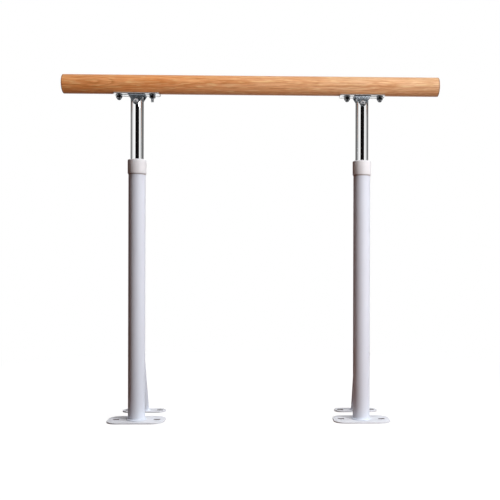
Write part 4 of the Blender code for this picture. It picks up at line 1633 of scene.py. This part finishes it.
    def build_brace(self) -> None:
        """Cut the leaning tube to the post and to the rear plate."""
        foot, head = self.brace_line()
        run = head - foot
        radius = self.extent("brace").size.x / 2
        body = tube(radius, radius - self.brace_wall, -4 * radius, run.length, self.brace_sides)
        turn = Vector((0.0, 0.0, 1.0)).rotation_difference(run).to_matrix().to_4x4()
        bmesh.ops.transform(body, matrix=Matrix.Translation(foot) @ turn, verts=body.verts)
        cope = rod(self.post.size.x / 2 + SEAT_GAP, 0.0, 2 * self.brace_top_height, self.tube_sides)
        body = combine(body, placed(cope, self.axis))
        block = slab(self.floor_block, self.floor_block, self.floor_block, self.floor_block_corner)
        body = combine(body, placed(block, (foot.x, foot.y, foot.z - self.floor_block)))
        self.paint(body, "brace", "coped")

    def build_welds(self) -> None:
        """Lay the three weld beads of the leg."""
        foot, head = self.brace_line()
        run = (head - foot).normalized()
        lift = self.weld_lift * self.weld_radius
        post_reach = self.post.size.x / 2 + lift
        brace_reach = self.extent("brace").size.x / 2 + lift
        centre = self.post.at(self.extent("front_plate").high.z + lift)
        self.add_weld(self.ring_path(centre, post_reach, post_reach, self.post_weld_points), "post_weld")
        centre = Vector((foot.x, foot.y, self.extent("rear_plate").high.z + lift))
        ring = self.ring_path(centre, brace_reach, brace_reach / run.z, self.foot_weld_points)
        self.add_weld(ring, "brace_foot_weld")
        saddle = []
        sideways = Vector((1.0, 0.0, 0.0))
        upward = run.cross(sideways)
        for angle in round_angles(self.head_weld_points):
            offset = (sideways * math.cos(angle) + upward * math.sin(angle)) * brace_reach
            behind = math.sqrt(post_reach ** 2 - offset.x ** 2)
            travel = (self.axis.y + behind - foot.y - offset.y) / run.y
            saddle.append(foot + offset + run * travel)
        self.add_weld(saddle, "brace_head_weld")

    @staticmethod
    def ring_path(centre: Vector, reach_x: float, reach_y: float, count: int) -> list[Vector]:
        """Return points round a level ellipse."""
        return [centre + Vector((reach_x * math.cos(angle), reach_y * math.sin(angle), 0.0))
                for angle in round_angles(count)]

    def add_weld(self, path: Sequence[Vector], part: str) -> None:
        """Lay one bead and coat it."""
        shape = weld_bead(path, self.weld_radius, self.weld_ripple, self.weld_drop_length)
        add_piece(shape, self.side.node(part), Body.BASE, self.finishes.weld_paint)


@dataclass(frozen=True)
class Softbox:
    """A rectangular light, hung round the middle of the object.

    Its bearing is measured from the camera's side round to the right, and its elevation up from
    level, both in degrees. A feathered light is turned away to the left by so many degrees, which
    keeps the nearer leg from being the brighter one. One that lies level shines straight up. Metal
    shows only the lights that are mirrored.
    """

    name: str
    bearing: float
    elevation: float
    distance: float
    size: tuple[float, float]
    power: float
    feather: float = 0.0
    lies_level: bool = False
    mirrored: bool = False

    def hang(self) -> None:
        """Put the light in the scene."""
        rail = Extent.of("barre")
        target = Vector((0.0, rail.centre.y, rail.centre.z / 2))
        bearing = math.radians(self.bearing)
        elevation = math.radians(self.elevation)
        level = math.cos(elevation)
        way = Vector((math.sin(bearing) * level, -math.cos(bearing) * level, math.sin(elevation)))
        data = bpy.data.lights.new(self.name, "AREA")
        data.shape = "RECTANGLE"
        data.size, data.size_y = self.size
        data.energy = self.power
        light = linked(self.name, data)
        light.location = target + way * self.distance
        light.visible_camera = False
        light.visible_glossy = self.mirrored
        facing = Matrix.Rotation(math.radians(self.feather), 3, "Z") @ way
        light.rotation_euler = facing.to_track_quat("Z", "Y").to_euler()
        if self.lies_level:
            light.rotation_euler = (math.pi, 0.0, 0.0)


SOFTBOXES = (
    Softbox("key", bearing=50.0, elevation=15.0, distance=2.0, size=(0.9, 1.9), power=48.0, feather=57.0),
    Softbox("top", bearing=40.0, elevation=78.0, distance=4.0, size=(1.2, 1.2), power=72.0),
    Softbox("rail_fill", bearing=-12.0, elevation=13.7, distance=0.96, size=(1.0, 0.15), power=8.0,
            lies_level=True),
    Softbox("leg_fill", bearing=31.0, elevation=0.0, distance=1.4, size=(0.3, 0.9), power=1.9),
    Softbox("glint", bearing=37.0, elevation=40.0, distance=1.7, size=(0.6, 0.35), power=3.2, mirrored=True),
    Softbox("back_fill", bearing=180.0, elevation=25.0, distance=2.6, size=(1.4, 1.0), power=30.0),
)


@dataclass
class Studio:
    """The camera, the lights, the room, the floor and the card that darkens the chrome."""

    focal_length: float = 51.715
    sensor_width: float = 36.0
    camera_place: tuple[float, float, float] = (0.0414, -1.9610, 0.4112)
    camera_turn: float = 0.0272
    camera_roll: float = 0.0025
    frame_shift: tuple[float, float] = (-0.0732, 0.0312)
    wall_stops: tuple[Stop, ...] = (
        (0.0, 1.0), (0.31, 1.0), (0.36, 0.86), (0.42, 0.68), (0.49, 0.44), (0.55, 0.31), (0.62, 0.19),
        (0.70, 0.13), (1.0, 0.16),
    )
    ceiling: Colour = (0.62, 0.62, 0.64)
    ambient_left: Colour = (0.062, 0.014, 0.002)
    ambient_right: Colour = (0.30, 0.31, 0.34)
    ambient_above: Colour = (0.15, 0.14, 0.13)
    floor_radius: float = 6.0
    floor_sinking: float = 0.0002
    floor_left: Colour = (0.050, 0.012, 0.003)
    floor_right: Colour = (0.20, 0.07, 0.03)
    floor_grey: Colour = (0.20, 0.20, 0.20)
    floor_glow: float = 0.89
    card_size: tuple[float, float] = (2.93, 2.3)
    card_offset: float = 0.31
    card_behind_camera: float = 0.3
    card_black: Colour = (0.004, 0.004, 0.004)

    def build(self) -> None:
        """Set the whole stage."""
        bpy.context.scene.view_settings.view_transform = "Standard"
        self.add_camera()
        for softbox in SOFTBOXES:
            softbox.hang()
        self.light_world()
        self.add_floor()
        self.add_dark_card()

    def add_camera(self) -> None:
        """Stand the camera at the photograph's viewpoint."""
        data = bpy.data.cameras.new("camera")
        data.lens = self.focal_length
        data.sensor_width = self.sensor_width
        data.shift_x, data.shift_y = self.frame_shift
        camera = linked("camera", data)
        camera.location = self.camera_place
        camera.rotation_euler = (QUARTER_TURN, -self.camera_roll, -self.camera_turn)
        bpy.context.scene.camera = camera

    def light_world(self) -> None:
        """Make a white backdrop, a room for metal to mirror, and a dim light, browner on the left."""
        world = bpy.data.worlds.new("studio")
        bpy.context.scene.world = world
        world.use_nodes = True
        graph = Graph(world.node_tree)
        parts = graph.parts(graph.coordinates("Generated"))
        backwards = graph.math("MULTIPLY", parts["Y"], -1.0)
        bearing = graph.math("ABSOLUTE", graph.math("ARCTAN2", parts["X"], backwards))
        walls = graph.ramp(graph.math("DIVIDE", bearing, math.pi), self.wall_stops)
        room = graph.blend(graph.remap(parts["Z"], 0.45, 0.85), walls, self.ceiling)
        ambient = graph.blend(graph.remap(parts["X"], -0.4, 0.8), self.ambient_left, self.ambient_right)
        ambient = graph.blend(graph.remap(parts["Z"], 0.6, 0.98), ambient, self.ambient_above)
        looked_at, mirrored = graph.rays()
        colour = graph.blend(looked_at, graph.blend(mirrored, ambient, room), WHITE)
        background = graph.add("ShaderNodeBackground", {"Color": colour, "Strength": 1.0})
        graph.add("ShaderNodeOutputWorld", {"Surface": background.outputs[0]})

    @staticmethod
    def stage_object(shape: BMesh, name: str, finish: str) -> tuple[Object, Graph]:
        """Make a piece of the stage, which isn't part of the object.

        Args:
            shape: its mesh, used up here.
            name: its name.
            finish: its material's name.

        Returns:
            The object, and the graph of its empty material.
        """
        thing = linked(name, mesh_of(shape, name))
        material = bpy.data.materials.new(finish)
        material.use_nodes = True
        thing.data.materials.append(material)
        return thing, Graph(material.node_tree)

    def add_floor(self) -> None:
        """Lay a pale floor that looks white, keeps a faint shadow and darkens what mirrors its front."""
        shape = bmesh.new()
        bmesh.ops.create_circle(shape, cap_ends=True, segments=96, radius=self.floor_radius)
        floor, graph = self.stage_object(shape, "floor", "pale_floor")
        floor.location.z = -self.floor_sinking
        place = graph.coordinates("Object")
        parts = graph.parts(place)
        rightward = graph.remap(parts["X"], -0.8, 0.4)
        carpet = graph.matt(graph.blend(rightward, self.floor_left, self.floor_right))
        glow = graph.glow(WHITE, self.floor_glow)
        lit = graph.add("ShaderNodeAddShader", {0: graph.matt(self.floor_grey), 1: glow}).outputs[0]
        fade = graph.remap(graph.vector_math("LENGTH", place), 0.7, 1.5)
        seen = graph.mix_shaders(fade, lit, graph.glow(WHITE))
        mirror = graph.glow(graph.remap(parts["Y"], 0.6, 2.2, 0.07, 1.0))
        looked_at, mirrored = graph.rays()
        unseen = graph.mix_shaders(mirrored, carpet, mirror)
        graph.add("ShaderNodeOutputMaterial", {"Surface": graph.mix_shaders(looked_at, unseen, seen)})

    def add_dark_card(self) -> None:
        """Stand a black card behind the camera, whose reflection draws the chrome's dark core."""
        width, height = self.card_size
        shape = bmesh.new()
        bmesh.ops.create_grid(shape, x_segments=1, y_segments=1, size=0.5)
        bmesh.ops.scale(shape, vec=(width, height, 1.0), verts=shape.verts)
        bmesh.ops.rotate(shape, matrix=Matrix.Rotation(QUARTER_TURN, 3, "X"), verts=shape.verts)
        card, graph = self.stage_object(shape, "dark_card", "dark_card")
        across, back, _ = self.camera_place
        card.location = (across + self.card_offset, back - self.card_behind_camera, height / 2)
        looked_at, _ = graph.rays()
        surface = graph.mix_shaders(looked_at, graph.matt(self.card_black), graph.glow(WHITE))
        graph.add("ShaderNodeOutputMaterial", {"Surface": surface})


def clear_startup_objects() -> None:
    """Remove whatever the scene started with besides the model."""
    kept = set(frame["nodes"].values()) | set(frame["bodies"].values())
    for thing in list(bpy.data.objects):
        if thing not in kept:
            bpy.data.objects.remove(thing)


def dress_kept_nodes(finishes: Finishes) -> None:
    """Give the nodes that stay as they are a finish of their own.

    Args:
        finishes: the materials.
    """
    kept = dict.fromkeys(("riser_plug", "riser_glide", "guide_bush", "lock_pad"), finishes.nylon)
    kept.update(dict.fromkeys(("outer_stud", "inner_stud"), finishes.zinc))
    for name, node in frame["nodes"].items():
        part = name.split("_", 1)[-1]
        if part in kept and not node.hide_render:
            for material_slot in node.material_slots:
                material_slot.material = kept[part]
            LOG.info("%s: kept, dressed in %s", name, kept[part].name)


def main() -> None:
    """Build and dress the barre, one sub-assembly after another."""
    logging.basicConfig(level=logging.INFO, format="%(message)s")
    clear_startup_objects()
    finishes = Finishes.mix()
    Rail(finishes).build()
    for side in Side:
        Bracket(side, finishes).build()
        Leg(side, finishes).build()
    dress_kept_nodes(finishes)
    Studio().build()


if __name__ == "__main__":
    main()
